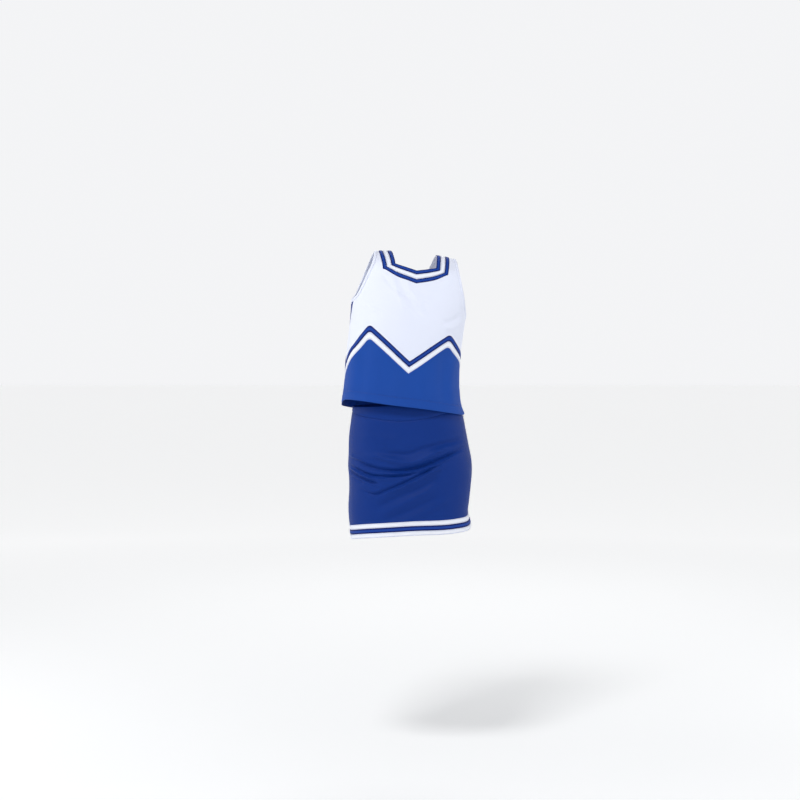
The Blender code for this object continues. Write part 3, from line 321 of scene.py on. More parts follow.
# Folds across the skirt's front, in world x and z: path, half width, height.
SKIRT_FRONT_FOLDS = (
    ([(-0.105, -0.112), (-0.070, -0.117), (-0.037, -0.125), (0.000, -0.131), (0.030, -0.124), (0.060, -0.108),
      (0.098, -0.092)], 0.0062, 0.0026),
    ([(-0.134, -0.122), (-0.108, -0.131), (-0.080, -0.142), (-0.045, -0.148), (-0.012, -0.147), (0.022, -0.141),
      (0.052, -0.131), (0.090, -0.116), (0.122, -0.102), (0.142, -0.094)], 0.0048, -0.0034),
    ([(-0.076, -0.150), (-0.040, -0.153), (-0.005, -0.153), (0.030, -0.146), (0.064, -0.134), (0.098, -0.118),
      (0.124, -0.105)], 0.0030, 0.0016),
    ([(-0.070, -0.108), (-0.040, -0.110), (0.000, -0.112), (0.030, -0.102), (0.060, -0.094), (0.118, -0.082),
      (0.140, -0.076)], 0.0060, -0.0022),
    ([(-0.142, -0.136), (-0.120, -0.146), (-0.110, -0.150), (-0.086, -0.159), (-0.050, -0.161), (-0.006, -0.158),
      (0.034, -0.148)], 0.0034, -0.0026),
    ([(-0.100, -0.160), (-0.076, -0.165), (-0.040, -0.166), (-0.010, -0.163)], 0.0030, 0.0011),
    ([(-0.142, -0.148), (-0.124, -0.157), (-0.104, -0.166), (-0.080, -0.175), (-0.058, -0.181)], 0.0034, -0.0026),
    ([(-0.136, -0.142), (-0.118, -0.151), (-0.096, -0.161), (-0.070, -0.169)], 0.0028, 0.0014),
    ([(-0.112, -0.186), (-0.092, -0.198), (-0.074, -0.202), (-0.050, -0.193), (-0.018, -0.180), (0.014, -0.165),
      (0.046, -0.148), (0.084, -0.130)], 0.0036, -0.0024),
    ([(-0.066, -0.203), (-0.036, -0.193), (-0.008, -0.182), (0.020, -0.169), (0.052, -0.152), (0.092, -0.130)],
     0.0046, 0.0020),
    ([(-0.084, -0.236), (-0.052, -0.222), (-0.014, -0.204), (0.028, -0.188), (0.058, -0.170), (0.090, -0.148)],
     0.0070, -0.0019),
    ([(-0.070, -0.252), (-0.030, -0.231), (0.006, -0.213), (0.040, -0.196), (0.072, -0.178)], 0.0070, 0.0016),
    ([(-0.060, -0.262), (-0.010, -0.243), (0.030, -0.226), (0.080, -0.200)], 0.0070, -0.0016),
    ([(-0.040, -0.274), (0.010, -0.254), (0.052, -0.234), (0.100, -0.204)], 0.0070, 0.0012),
    ([(-0.134, -0.164), (-0.112, -0.172), (-0.090, -0.182), (-0.060, -0.188)], 0.0030, -0.0016),
    ([(-0.136, -0.116), (-0.110, -0.124), (-0.078, -0.135)], 0.0034, 0.0016),
    ([(-0.104, -0.176), (-0.086, -0.184), (-0.070, -0.187)], 0.0026, 0.0009),
    ([(-0.110, -0.070), (-0.060, -0.078), (-0.010, -0.080)], 0.0110, 0.0007),
)
SKIRT_BACK_FOLDS = (
    ([(-0.110, -0.150), (-0.060, -0.176), (0.000, -0.184), (0.060, -0.174), (0.110, -0.148)], 0.0060, -0.0020),
    ([(-0.100, -0.166), (-0.050, -0.190), (0.000, -0.197), (0.050, -0.188), (0.104, -0.164)], 0.0060, 0.0016),
    ([(-0.112, -0.060), (-0.060, -0.074), (-0.010, -0.070)], 0.0070, -0.0014),
    ([(0.112, -0.058), (0.060, -0.072), (0.014, -0.066)], 0.0070, -0.0013),
    ([(-0.070, -0.210), (-0.040, -0.236), (0.000, -0.262)], 0.0100, 0.0012),
    ([(0.080, -0.206), (0.050, -0.232), (0.020, -0.262)], 0.0100, -0.0012),
)

def skirt_swell(u, z, place, world):
    """How far the skirt stands off its smooth skin: folds, slow waves, seams and a ripple at the hem."""
    u = wrapped(u)
    q = np.abs(u) / QUARTER
    x, height = world[..., 0], world[..., 2]
    ahead, behind = folds(x, height, SKIRT_FRONT_FOLDS), folds(x, height, SKIRT_BACK_FOLDS)
    rise = ahead * (1 - smoothstep(0.78, 0.97, q)) + SKIRT_BACK_SHARE * behind * smoothstep(1.03, 1.18, q)
    calm = smoothstep(0.0, 0.05, -0.03 - z) * smoothstep(-0.3, -0.24, z)
    calm = calm * smoothstep(0.004, 0.030, np.abs(u - QUARTER))
    waves = 0.0007 * np.sin(31 * u + 12 * z) + 0.0005 * np.sin(43 * z - 19 * u + 1.0)
    waist = np.exp(-(((z - seam_height(WAIST_SEAM, u) + 0.0010) / 0.0014) ** 2))
    ripple = 0.0006 * np.sin(26 * u + 0.7) * (1 - smoothstep(-0.29, -0.25, z))
    seam = seam_line((q - 1) * QUARTER) * (z < -0.03)
    return SKIRT_FOLD_DEPTH * rise + calm * waves - seam - 0.0009 * waist + ripple


class Skin:
    """A garment's surface in the world, with its folds and its outward directions."""

    def __init__(self, point, pivot, turned, swell, body):
        self.point, self.swell, self.body = point, swell, body
        self.pose = Matrix.Translation(pivot) @ Euler(turned).to_matrix().to_4x4()
        self.spin = np.array(self.pose.to_3x3())
        self.shift = np.array(self.pose.translation)

    def surface(self, u, v):
        u, v = np.asarray(u, dtype=float), np.asarray(v, dtype=float)
        step = 0.0012
        along = self.point(u + step, v) - self.point(u - step, v)
        up = self.point(u, v + step) - self.point(u, v - step)
        out = np.cross(along, up)
        out = out / np.linalg.norm(out, axis=-1, keepdims=True)
        place = self.point(u, v)
        world = place @ self.spin.T + self.shift
        out = out @ self.spin.T
        return world + out * self.swell(u, v, place, world)[..., None], out

    def at(self, u, v, off=0.0):
        place, out = self.surface(u, v)
        return place + out * off


# ---- outlines, in pattern metres ----


def spread(low, high, count):
    return [low + (high - low) * i / count for i in range(count + 1)]


def run_at(z):
    return float(np.interp(z, [k[1] for k in SHELL_KEYS], [k[0] for k in SHELL_KEYS]))


def strap(x, z, back=False):
    """Pattern place of a point x across and z up on the shell."""
    run = run_at(z)
    _, right, left, _, _ = SHELL_TABLE(run)
    s = math.copysign(float(np.interp(min(1.0, abs(x) / (left if x > 0 else right)), SECTION_X, SECTION_ARC)), x)
    return (s, TOP - run if back else run - TOP)


def shifted(path, distance):
    """A smooth path moved sideways to its left."""
    moved = []
    for i, (x, y) in enumerate(path):
        sides = []
        for a, b in ((i - 1, i), (i, i + 1)):
            if a >= 0 and b < len(path):
                dx, dy = path[b][0] - path[a][0], path[b][1] - path[a][1]
                length = math.hypot(dx, dy)
                sides.append((-dy / length, dx / length))
        nx = sum(n[0] for n in sides) / len(sides)
        ny = sum(n[1] for n in sides) / len(sides)
        scale = distance / (nx * nx + ny * ny)
        moved.append((x + nx * scale, y + ny * scale))
    return moved


def crossing(a, b, c, d):
    """Where the segments a-b and c-d cross, or None."""
    rx, ry, sx, sy = b[0] - a[0], b[1] - a[1], d[0] - c[0], d[1] - c[1]
    wide = rx * sy - ry * sx
    if abs(wide) < 1e-15:
        return None
    t = ((c[0] - a[0]) * sy - (c[1] - a[1]) * sx) / wide
    w = ((c[0] - a[0]) * ry - (c[1] - a[1]) * rx) / wide
    if 0 <= t <= 1 and 0 <= w <= 1:
        return (a[0] + rx * t, a[1] + ry * t)
    return None


def lengthened(leg, at_start, at_end):
    """A leg with its end segments run on, so that it meets its neighbours."""
    leg = list(leg)
    reach = 0.060
    for wanted, i, j in ((at_start, 0, 1), (at_end, -1, -2)):
        if wanted:
            dx, dy = leg[i][0] - leg[j][0], leg[i][1] - leg[j][1]
            length = math.hypot(dx, dy)
            leg[i] = (leg[i][0] + dx / length * reach, leg[i][1] + dy / length * reach)
    return leg


def turn_at(path, i):
    ax, ay = path[i][0] - path[i - 1][0], path[i][1] - path[i - 1][1]
    bx, by = path[i + 1][0] - path[i][0], path[i + 1][1] - path[i][1]
    return abs(math.atan2(ax * by - ay * bx, ax * bx + ay * by))


def offset(path, distance):
    """The path moved sideways to its left. Sharp corners stay sharp."""
    corners = [0] + [i for i in range(1, len(path) - 1) if turn_at(path, i) > math.radians(24)] + [len(path) - 1]
    legs = [shifted(path[i : j + 1], distance) for i, j in zip(corners, corners[1:])]
    legs = [lengthened(leg, k > 0, k < len(legs) - 1) for k, leg in enumerate(legs)]
    result = list(legs[0])
    for leg in legs[1:]:
        meeting = None
        for i in range(len(result) - 2, -1, -1):
            for j in range(len(leg) - 1):
                meeting = crossing(result[i], result[i + 1], leg[j], leg[j + 1])
                if meeting:
                    result = result[: i + 1] + [meeting] + leg[j + 1 :]
                    break
            if meeting:
                break
    return result


def curve_through(points, per_span=4):
    """A smooth open path through the points."""
    path = []
    count = len(points)
    for i in range(count - 1):
        p0, p1 = points[max(0, i - 1)], points[i]
        p2, p3 = points[i + 1], points[min(count - 1, i + 2)]
        for k in range(per_span):
            t = k / per_span
            path.append(
                tuple(
                    0.5
                    * (
                        2 * p1[c]
                        + (p2[c] - p0[c]) * t
                        + (2 * p0[c] - 5 * p1[c] + 4 * p2[c] - p3[c]) * t * t
                        + (3 * p1[c] - p0[c] - 3 * p2[c] + p3[c]) * t**3
                    )
                    for c in (0, 1)
                )
            )
    return path + [tuple(points[-1])]


def mirrored(path):
    return [(-s, t) for s, t in reversed(path)]


def refine(path, pitch, closed=False):
    """The path again, curved smoothly between its sharp corners, in even steps near the pitch."""
    points = [tuple(p) for p in path]
    points = [p for i, p in enumerate(points) if i == 0 or math.dist(p, points[i - 1]) > 1e-5]
    sharp = math.radians(21)
    if closed:
        if math.dist(points[0], points[-1]) < 1e-5:
            points.pop()
        ring = [points[-1]] + points + [points[0]]
        start = max(range(len(points)), key=lambda i: turn_at(ring, i + 1))
        points = points[start:] + points[: start + 1]
    corners = [0] + [i for i in range(1, len(points) - 1) if turn_at(points, i) > sharp] + [len(points) - 1]
    out = []
    for i, j in zip(corners, corners[1:]):
        leg = np.array(points[i : j + 1])
        chord = chords(leg)
        count = max(1, int(round(chord[-1] / pitch)))
        curve = Table(np.column_stack([chord, leg]))(np.linspace(0.0, chord[-1], count + 1))
        curve[0], curve[-1] = leg[0], leg[-1]
        out += [tuple(p) for p in curve[:-1]]
    return out if closed else out + [points[-1]]


# ---- meshes ----


def mesh_of(name, verts, tris, quads, uvs=None):
    mesh = bpy.data.meshes.new(name)
    tris = np.asarray(tris, dtype=np.int32).reshape(-1, 3)
    quads = np.asarray(quads, dtype=np.int32).reshape(-1, 4)
    loops = np.concatenate([tris.ravel(), quads.ravel()])
    starts = np.concatenate([np.arange(len(tris)) * 3, len(tris) * 3 + np.arange(len(quads)) * 4])
    mesh.vertices.add(len(verts))
    mesh.vertices.foreach_set("co", np.asarray(verts, dtype=np.float32).ravel())
    mesh.loops.add(len(loops))
    mesh.loops.foreach_set("vertex_index", loops)
    mesh.polygons.add(len(starts))
    mesh.polygons.foreach_set("loop_start", starts.astype(np.int32))
    mesh.update(calc_edges=True)
    mesh.polygons.foreach_set("use_smooth", np.ones(len(starts), dtype=bool))
    if uvs is not None:
        layer = mesh.uv_layers.new(name="cloth")
        layer.uv.foreach_set("vector", np.asarray(uvs, dtype=np.float32)[loops].ravel())
    mesh.validate()
    mesh.set_sharp_from_angle(angle=math.radians(52))
    return mesh


pieces = {}


def adopt(name, mesh, mat, body, node=None):
    """A piece of a body, with its material, in place of a node of the CAD."""
    piece = bpy.data.objects.new(name, mesh)
    mesh.materials.append(mat)
    bpy.context.scene.collection.objects.link(piece)
    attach(piece, body)
    if node:
        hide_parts(node)
        pieces[node] = piece
    return piece


def inside(points, outline):
    """Which points lie inside the outline, and each one's distance from it."""
    a = np.array(outline)
    b = np.roll(a, -1, axis=0)
    odd = np.zeros(len(points), dtype=bool)
    near = np.full(len(points), 1e9)
    x, y = points[:, 0], points[:, 1]
    for (ax, ay), (bx, by) in zip(a, b):
        crosses = (ay > y) != (by > y)
        if ay != by:
            odd ^= crosses & (x < ax + (y - ay) * (bx - ax) / (by - ay))
        dx, dy = bx - ax, by - ay
        t = np.clip(((x - ax) * dx + (y - ay) * dy) / (dx * dx + dy * dy), 0.0, 1.0)
        near = np.minimum(near, np.hypot(x - ax - t * dx, y - ay - t * dy))
    return odd, near


def area_of(outline):
    return 0.5 * sum(a[0] * b[1] - b[0] * a[1] for a, b in zip(outline, outline[1:] + outline[:1]))


def triangles(outline, extra, edges):
    """Triangles of an outline that use the extra points and edges. Each corner is named by its input point."""
    if area_of(outline) < 0:
        outline = outline[::-1]
    points = [Vector(p) for p in outline + extra]
    shift = len(outline)
    edges = [(a + shift, b + shift) for a, b in edges]
    flat, _, faces, origins, _, _ = delaunay_2d_cdt(points, edges, [list(range(shift))], 1, 1e-7, True)
    flat, faces = np.array([tuple(p) for p in flat]), np.array(faces)
    kept, _ = inside(flat[faces].mean(axis=1), outline)
    return flat, faces[kept], origins


def solid(name, skin, uv, tris, inner, outer, shade):
    """A closed sheet between two offsets from a skin. Places that meet are welded first."""
    place, out = skin.surface(uv[:, 0], uv[:, 1])
    inner, outer = np.broadcast_to(inner, len(uv)), np.broadcast_to(outer, len(uv))
    high, low = place + out * outer[:, None], place + out * inner[:, None]
    cells = np.round(high * WELD_CELLS).astype(np.int64)
    _, first, back = np.unique(cells, axis=0, return_index=True, return_inverse=True)
    tris = back.ravel()[tris]
    tris = tris[(tris[:, 0] != tris[:, 1]) & (tris[:, 1] != tris[:, 2]) & (tris[:, 2] != tris[:, 0])]
    high, low, shade = high[first], low[first], shade[first]
    count = len(first)
    edges = np.concatenate([tris[:, [0, 1]], tris[:, [1, 2]], tris[:, [2, 0]]])
    rim = edges[~np.isin(edges[:, 0] * count + edges[:, 1], edges[:, 1] * count + edges[:, 0])]
    quads = np.column_stack([rim[:, 1], rim[:, 0], rim[:, 0] + count, rim[:, 1] + count])
    soft = np.unique(rim)
    middle = 0.5 * (high[soft] + low[soft])
    high[soft] += (middle - high[soft]) * 0.25
    low[soft] += (middle - low[soft]) * 0.25
    faces = np.concatenate([tris, tris[:, ::-1] + count])
    return mesh_of(name, np.concatenate([high, low]), faces, quads, np.concatenate([shade, shade]))


def panel(node, skin, outline, low, high, mat, pitch=PITCH):
    """A flat pattern piece on a skin, covered with an even lattice."""
    name = node + "_cloth"
    outline = refine(outline, pitch, closed=True)
    if skin is SHELL:
        outline = [(max(SEAM - QUARTER, min(QUARTER - SEAM, s)), tau) for s, tau in outline]
    lows, highs = np.min(outline, axis=0), np.max(outline, axis=0)
    columns = np.arange(lows[0] + 0.5 * pitch, highs[0], pitch)
    rows = np.arange(lows[1] + 0.5 * pitch, highs[1], pitch)
    grid = np.array(np.meshgrid(columns, rows)).reshape(2, -1).T
    odd, near = inside(grid, outline)
    grid = grid[odd & (near > 0.45 * pitch)]
    uv, tris, _ = triangles(outline, [tuple(p) for p in grid], [])
    piece = adopt(name, solid(name, skin, uv, tris, low, high, uv), mat, skin.body, node)
    piece["area"] = abs(area_of(outline))
    piece["flat"] = [float(c) for c in highs - lows]


def strip(node, skin, rail, profile, base, mat, pitch=STRIP_PITCH):
    """A band between rails. rail(share) gives the line at a share of the width, profile its height there."""
    name = node + "_trim"
    shares = sorted(profile)
    rails = [refine(rail(share), pitch) for share in shares]
    outline = rails[0] + rails[-1][::-1]
    labels = [shares[0]] * len(rails[0]) + [shares[-1]] * len(rails[-1])
    if area_of(outline) < 0:
        labels = labels[::-1]
    extra, edges = [], []
    for share, line in zip(shares[1:-1], rails[1:-1]):
        edges += [(len(extra) + i, len(extra) + i + 1) for i in range(len(line) - 1)]
        extra += line
        labels += [share] * len(line)
    uv, tris, origins = triangles(outline, extra, edges)
    share = np.array([labels[o[0]] if o else np.nan for o in origins])
    lost = np.isnan(share)
    if lost.any():
        known = uv[~lost]
        for i in np.flatnonzero(lost):
            share[i] = share[~lost][np.argmin(((known - uv[i]) ** 2).sum(axis=1))]
    faces = [profile[s] if isinstance(profile[s], tuple) else (profile[s], base) for s in shares]
    outer, inner = (np.interp(share, shares, heights) for heights in zip(*faces))
    _, along, length = nearest(uv[:, 0], uv[:, 1], np.array(refine(rail(0.5), 0.004)))
    mesh = solid(name, skin, uv, tris, inner, outer, np.column_stack([along, share]))
    piece = adopt(name, mesh, mat, skin.body, node)
    piece["area"] = float(abs(area_of(outline)))
    piece["flat"] = [piece["area"] / length, float(length)]


BRAID_PROFILE = {
    0.0: 0.0013, 0.06: 0.0017, 0.15: 0.0020, 0.28: 0.0022, 0.40: 0.00225, 0.46: 0.0021, 0.50: 0.0019,
    0.54: 0.0021, 0.60: 0.00225, 0.72: 0.0022, 0.85: 0.0020, 0.94: 0.0017, 1.0: 0.0013,
}
BINDING_PROFILE = {
    0.0: (0.0008, 0.0000), 0.10: (0.0015, -0.0007), 0.25: (0.0019, -0.0008), 0.50: (0.0021, -0.0008),
    0.72: (0.0019, -0.0008), 0.82: (0.0015, -0.0008), 0.90: (0.0018, -0.0008), 1.0: (0.0013, -0.0005),
}
WAISTBAND_PROFILE = {0.0: 0.0013, 0.05: 0.0017, 0.3: 0.0018, 0.6: 0.0018, 0.94: 0.0017, 1.0: 0.0011}
BEHIND_PROFILE = {0.0: -0.0001, 0.25: -0.0001, 0.5: -0.0001, 0.75: -0.0001, 1.0: -0.0001}
FACING_PROFILE = {0.0: 0.0, 0.2: 0.0, 0.4: 0.0, 0.6: 0.0, 0.8: 0.0, 1.0: -0.0003}


class Stitches:
    """Rows of short threads gathered into one mesh."""

    def __init__(self):
        self.verts, self.tris = [], []
        self.count = 0

    def row(self, skin, path, off, pitch=0.0030, length=0.0022, radius=0.00020):
        line = np.array(refine(path, pitch))
        mid = 0.5 * (line[:-1] + line[1:])
        size = np.hypot(*(line[1:] - line[:-1]).T)
        mid = mid[size > 0.5 * pitch]
        ahead = (line[1:] - line[:-1])[size > 0.5 * pitch]
        ahead = ahead / np.hypot(*ahead.T)[:, None] * 0.0008
        place, out = skin.surface(mid[:, 0], mid[:, 1])
        way = skin.at(*(mid + ahead).T) - skin.at(*(mid - ahead).T)
        way = way / np.linalg.norm(way, axis=1, keepdims=True)
        side = np.cross(out, way)
        place = place + out * off
        square = ((1, 0), (0, 1), (-1, 0), (0, -1))
        shape = [(-0.5, 0.0, -0.6)]
        shape += [(a, *corner) for a in (-0.3, 0.3) for corner in square] + [(0.5, 0.0, -0.6)]
        block = np.stack(
            [place + way * a * length + side * b * radius + out * c * radius for a, b, c in shape], axis=1
        )
        tris = [(0, 1 + (i + 1) % 4, 1 + i) for i in range(4)] + [(9, 5 + i, 5 + (i + 1) % 4) for i in range(4)]
        for i in range(4):
            j = (i + 1) % 4
            tris += [(1 + i, 1 + j, 5 + j), (1 + i, 5 + j, 5 + i)]
        starts = self.count + 10 * np.arange(len(place))
        self.tris.append((starts[:, None, None] + np.array(tris)[None]).reshape(-1, 3)[:, ::-1])
        self.verts.append(block.reshape(-1, 3))
        self.count += 10 * len(place)

    def braid_edges(self, skin, rail):
        for share in (0.09, 0.91):
            self.row(skin, rail(share), 0.0019)

    def piece(self, name, mat, body):
        adopt(name, mesh_of(name, np.concatenate(self.verts), np.concatenate(self.tris), []), mat, body)


# ---- materials ----
WAVE_SCALE = 0.31416


class Nodes:
    """A short way to build a node tree."""

    def __init__(self, name, colour, roughness, metallic=0.0, **constants):
        self.material = bpy.data.materials.new(name)
        self.material.use_nodes = True
        self.material.diffuse_color = colour
        self.tree = self.material.node_tree
        self.shader = self.tree.nodes["Principled BSDF"]
        self.shader.inputs["Base Color"].default_value = colour
        self.shader.inputs["Roughness"].default_value = roughness
        self.shader.inputs["Metallic"].default_value = metallic
        for key, value in constants.items():
            self.shader.inputs[key.replace("_", " ")].default_value = value

    def add(self, kind, links=None, **values):
        node = self.tree.nodes.new(kind)
        for key, value in values.items():
            setattr(node, key, value)
        for key, value in (links or {}).items():
            self.join(node.inputs[key], value)
        return node

    def join(self, socket, value):
        if isinstance(value, bpy.types.NodeSocket):
            self.tree.links.new(value, socket)
        else:
            socket.default_value = value

    def math(self, operation, a, b=0.0, c=0.0):
        return self.add("ShaderNodeMath", {0: a, 1: b, 2: c}, operation=operation).outputs[0]

    def place(self, scale=(1.0, 1.0, 1.0)):
        """Object coordinates scaled by one number a way."""
        where = self.add("ShaderNodeTexCoord").outputs["Object"]
        return self.add("ShaderNodeMapping", {"Vector": where, "Scale": scale}).outputs["Vector"]

    def pattern(self, scale=(1.0, 1.0, 1.0)):
        """Pattern coordinates: along and across the cloth, scaled."""
        where = self.add("ShaderNodeUVMap", uv_map="cloth").outputs["UV"]
        return self.add("ShaderNodeMapping", {"Vector": where, "Scale": scale}).outputs["Vector"]

    def noise(self, where, scale, detail=3.0, roughness=0.55):
        links = {"Vector": where, "Scale": scale, "Detail": detail, "Roughness": roughness}
        return self.add("ShaderNodeTexNoise", links).outputs["Fac"]

    def ramp(self, factor, stops):
        node = self.add("ShaderNodeValToRGB", {"Fac": factor})
        while len(node.color_ramp.elements) < len(stops):
            node.color_ramp.elements.new(0.5)
        for element, (where, colour) in zip(node.color_ramp.elements, stops):
            element.position = where
            element.color = colour
        return node.outputs["Color"]

    def mix(self, factor, a, b, mode="MIX"):
        node = self.add("ShaderNodeMix", data_type="RGBA", blend_type=mode)
        for i, value in ((0, factor), (6, a), (7, b)):
            self.join(node.inputs[i], value)
        return node.outputs[2]

    def feed(self, name, value):
        self.tree.links.new(value, self.shader.inputs[name])

    def relief(self, height, strength, distance=0.0001):
        links = {"Height": height, "Strength": strength, "Distance": distance}
        self.feed("Normal", self.add("ShaderNodeBump", links).outputs["Normal"])

    def wave(self, where, pitch, bands="X"):
        """Straight waves at a pitch."""
        links = {"Vector": where, "Scale": WAVE_SCALE / pitch}
        return self.add("ShaderNodeTexWave", links, bands_direction=bands).outputs["Fac"]

    def shaded(self, colour, shade):
        self.feed("Base Color", self.mix(1.0, colour, shade, "MULTIPLY"))


def fabric(name, colour, roughness, sheen, soft, tint, specular):
    shine = {"Sheen_Weight": sheen, "Sheen_Roughness": soft, "Sheen_Tint": tint, "Specular_IOR_Level": specular}
    return Nodes(name, colour, roughness, **shine)


def knit(name, colour, roughness, sheen, tint, wale=0.00115, specular=0.4, vary=0.05):
    """Double knit: fine ribs up the cloth, crossed by its courses, with a soft sheen."""
    mat = fabric(name, colour, roughness, sheen, 0.45, tint, specular)
    courses = mat.wave(mat.pattern((0.45, 1.0, 1.0)), wale * 0.82, "Y")
    loops = mat.math("MULTIPLY", mat.wave(mat.pattern(), wale), mat.math("MULTIPLY_ADD", courses, 0.55, 0.45))
    fibre = mat.noise(mat.place(), 1600.0, 2.0, 0.6)
    cloud = mat.noise(mat.place(), 14.0, 4.0, 0.6)
    shade = mat.math("MULTIPLY_ADD", cloud, 2 * vary, 1.0 - vary)
    mat.shaded(colour, mat.math("MULTIPLY", shade, mat.math("MULTIPLY_ADD", loops, 0.16, 0.90)))
    mat.feed("Roughness", mat.math("MULTIPLY_ADD", cloud, 0.16, roughness - 0.08))
    mat.relief(mat.math("MULTIPLY_ADD", fibre, 0.35, loops), 0.35, 0.00025)
    return mat.material


def braid(name, edge, middle, roughness, sheen, tint, rib=0.0010, specular=0.4):
    """Flat knitted braid: ribs across it and a channel along its centre. Its edges and the channel are coloured
    darker as painted shade.
    """
    mat = fabric(name, middle, roughness, sheen, 0.40, tint, specular)
    parts = mat.add("ShaderNodeSeparateXYZ", {"Vector": mat.pattern()})
    along, across = parts.outputs[0], parts.outputs[1]
    # Painted shade: the edge colour darkens both rims of the braid and its centre channel, where the domed
    # profile falls away.
    stops = ((0.0, edge), (0.20, edge), (0.34, middle), (0.47, middle), (0.50, edge), (0.53, middle))
    stops += ((0.66, middle), (0.80, edge), (1.0, edge))
    stripe = mat.ramp(across, stops)
    slant = mat.math("MULTIPLY_ADD", across, 0.0012, along)
    flat = mat.add("ShaderNodeCombineXYZ", {0: slant, 1: across}).outputs[0]
    columns = mat.wave(flat, 1 / 11, "Y")
    weave = mat.math("MULTIPLY_ADD", columns, 0.5, mat.math("MULTIPLY", mat.wave(flat, rib), 0.8))
    fibre = mat.noise(mat.place(), 1500.0, 2.0, 0.6)
    cloud = mat.noise(mat.place(), 30.0, 3.0, 0.6)
    worn = mat.math("MULTIPLY_ADD", cloud, 0.10, 0.95)
    mat.shaded(stripe, mat.math("MULTIPLY", worn, mat.math("MULTIPLY_ADD", weave, 0.12, 0.9)))
    mat.feed("Roughness", mat.math("MULTIPLY_ADD", cloud, 0.12, roughness - 0.06))
    mat.relief(mat.math("MULTIPLY_ADD", fibre, 0.3, weave), 0.45, 0.00025)
    return mat.material


def thread(name, colour):
    mat = Nodes(name, colour, 0.5, Sheen_Weight=0.3, Sheen_Roughness=0.3)
    links = {"Vector": mat.place(), "Scale": 900.0}
    twist = mat.add("ShaderNodeTexWave", links, bands_direction="DIAGONAL").outputs["Fac"]
    mat.shaded(colour, mat.math("MULTIPLY_ADD", twist, 0.2, 0.86))
    mat.relief(twist, 0.5)
    return mat.material


def nylon(name, colour):
    mat = Nodes(name, colour, 0.38, Specular_IOR_Level=0.5, Coat_Weight=0.15, Coat_Roughness=0.3)
    cloud = mat.noise(mat.place(), 220.0, 3.0)
    mat.shaded(colour, mat.math("MULTIPLY_ADD", cloud, 0.2, 0.9))
    mat.feed("Roughness", mat.math("MULTIPLY_ADD", cloud, 0.2, 0.28))
    mat.relief(cloud, 0.15)
    return mat.material


def nickel(name, colour):
    """Nickel plate with fine scratches and duller patches from handling."""
    mat = Nodes(name, colour, 0.24, 1.0)
    patches = mat.noise(mat.place(), 260.0, 4.0)
    mat.shaded(colour, mat.math("MULTIPLY_ADD", patches, 0.24, 0.86))
    mat.feed("Roughness", mat.math("MULTIPLY_ADD", patches, 0.24, 0.14))
    mat.relief(mat.noise(mat.place((40.0, 1.0, 1.0)), 180.0, 2.0), 0.12)
    return mat.material


PURE = srgb(255, 255, 255)
SKY = srgb(60, 120, 235)
WHITE = knit("white double knit", srgb(227, 232, 248), 0.72, 0.18, PURE, vary=0.015)
ROYAL = knit("royal blue double knit", srgb(20, 70, 157), 0.62, 0.05, srgb(60, 130, 240), specular=0.16)
SKIRT_BLUE = knit("blue skirt double knit", srgb(13, 50, 127), 0.52, 0.03, SKY, specular=0.10)
LINING = knit("white lining", srgb(232, 234, 244), 0.8, 0.1, PURE, vary=0.02)
# Each braid's first colour is a darker copy of its own colour, painted as shade on its edges and centre channel.
BLUE_BRAID = braid("blue braid", srgb(9, 24, 94), srgb(30, 68, 156), 0.58, 0.02, SKY, specular=0.10)
WHITE_BRAID = braid("white braid", srgb(214, 218, 234), srgb(240, 243, 252), 0.66, 0.15, PURE)
PLAIN_BLUE = knit("blue tape", srgb(20, 44, 122), 0.6, 0.05, SKY, wale=0.0008, specular=0.12)
WHITE_THREAD = thread("white thread", srgb(236, 239, 250))
BLUE_THREAD = thread("blue thread", srgb(26, 50, 130))
COIL = nylon("nylon coil", srgb(24, 44, 120))
METAL = nickel("nickel plate", (0.40, 0.41, 0.43, 1.0))

# ---- lines of the shell's pattern: x across, z up; -1 is the wearer's right, 1 the left ----
ARMHOLE_LOW = {-1: 0.2285, 1: 0.2165}
ARMHOLE_FRONT = {
    -1: [(0.0925, 0.349), (0.0985, 0.322), (0.1085, 0.294), (0.1182, 0.264), (0.1268, 0.241)],
    1: [(0.0935, 0.349), (0.0975, 0.322), (0.1045, 0.294), (0.1135, 0.264), (0.1222, 0.229)],
}
ARMHOLE_BACK = {
    -1: [(0.0925, 0.349), (0.0985, 0.328), (0.1060, 0.301), (0.1150, 0.270), (0.1250, 0.241)],
    1: [(0.0935, 0.349), (0.0980, 0.328), (0.1040, 0.301), (0.1120, 0.270), (0.1215, 0.229)],
}
NECK_CORNER = {-1: (0.0480, 0.3180), 1: (0.0440, 0.3180)}
NECK_SHOULDER = {-1: 0.0540, 1: 0.0475}
NECK_TIP = 0.3070
NECK_EASE = (0.0185, 0.3113)


def armhole(side):
    low = ARMHOLE_LOW[side]
    forward = [strap(side * x, z) for x, z in ARMHOLE_FRONT[side]] + [(side * QUARTER, run_at(low) - TOP)]
    rear = [strap(side * x, z, True) for x, z in ARMHOLE_BACK[side]] + [(side * QUARTER, TOP - run_at(low))]
    return curve_through(list(reversed(forward)) + rear[1:], 3)


def armhole_band(side, width):
    path = armhole(side)
    if not width:
        return path
    moved = offset(path, width * side)
    moved[0] = (side * QUARTER, path[0][1] - width)
    moved[-1] = (side * QUARTER, path[-1][1] + width)
    return moved


def neckline():

    def half(side):
        start = TOP - run_at(0.3070)
        corner = strap(0.0445, 0.3300, True)
        line = [(0.0050, start), (0.026, TOP - run_at(0.3085))]
        line += [(0.0385, 0.5 * (TOP - run_at(0.3085) + corner[1]) + 0.010), corner]
        line += [(strap(NECK_SHOULDER[side], 0.349)[0], 0.0), strap(*NECK_CORNER[side]), strap(*NECK_EASE)]
        return line

    return half(1) + [(0.0, run_at(NECK_TIP) - TOP)] + mirrored(half(-1))


def neck_rail(distance, end=0.0050):
    line = offset(neckline(), distance) if distance else list(neckline())
    line[0], line[-1] = (end, line[0][1]), (-end, line[-1][1])
    return line


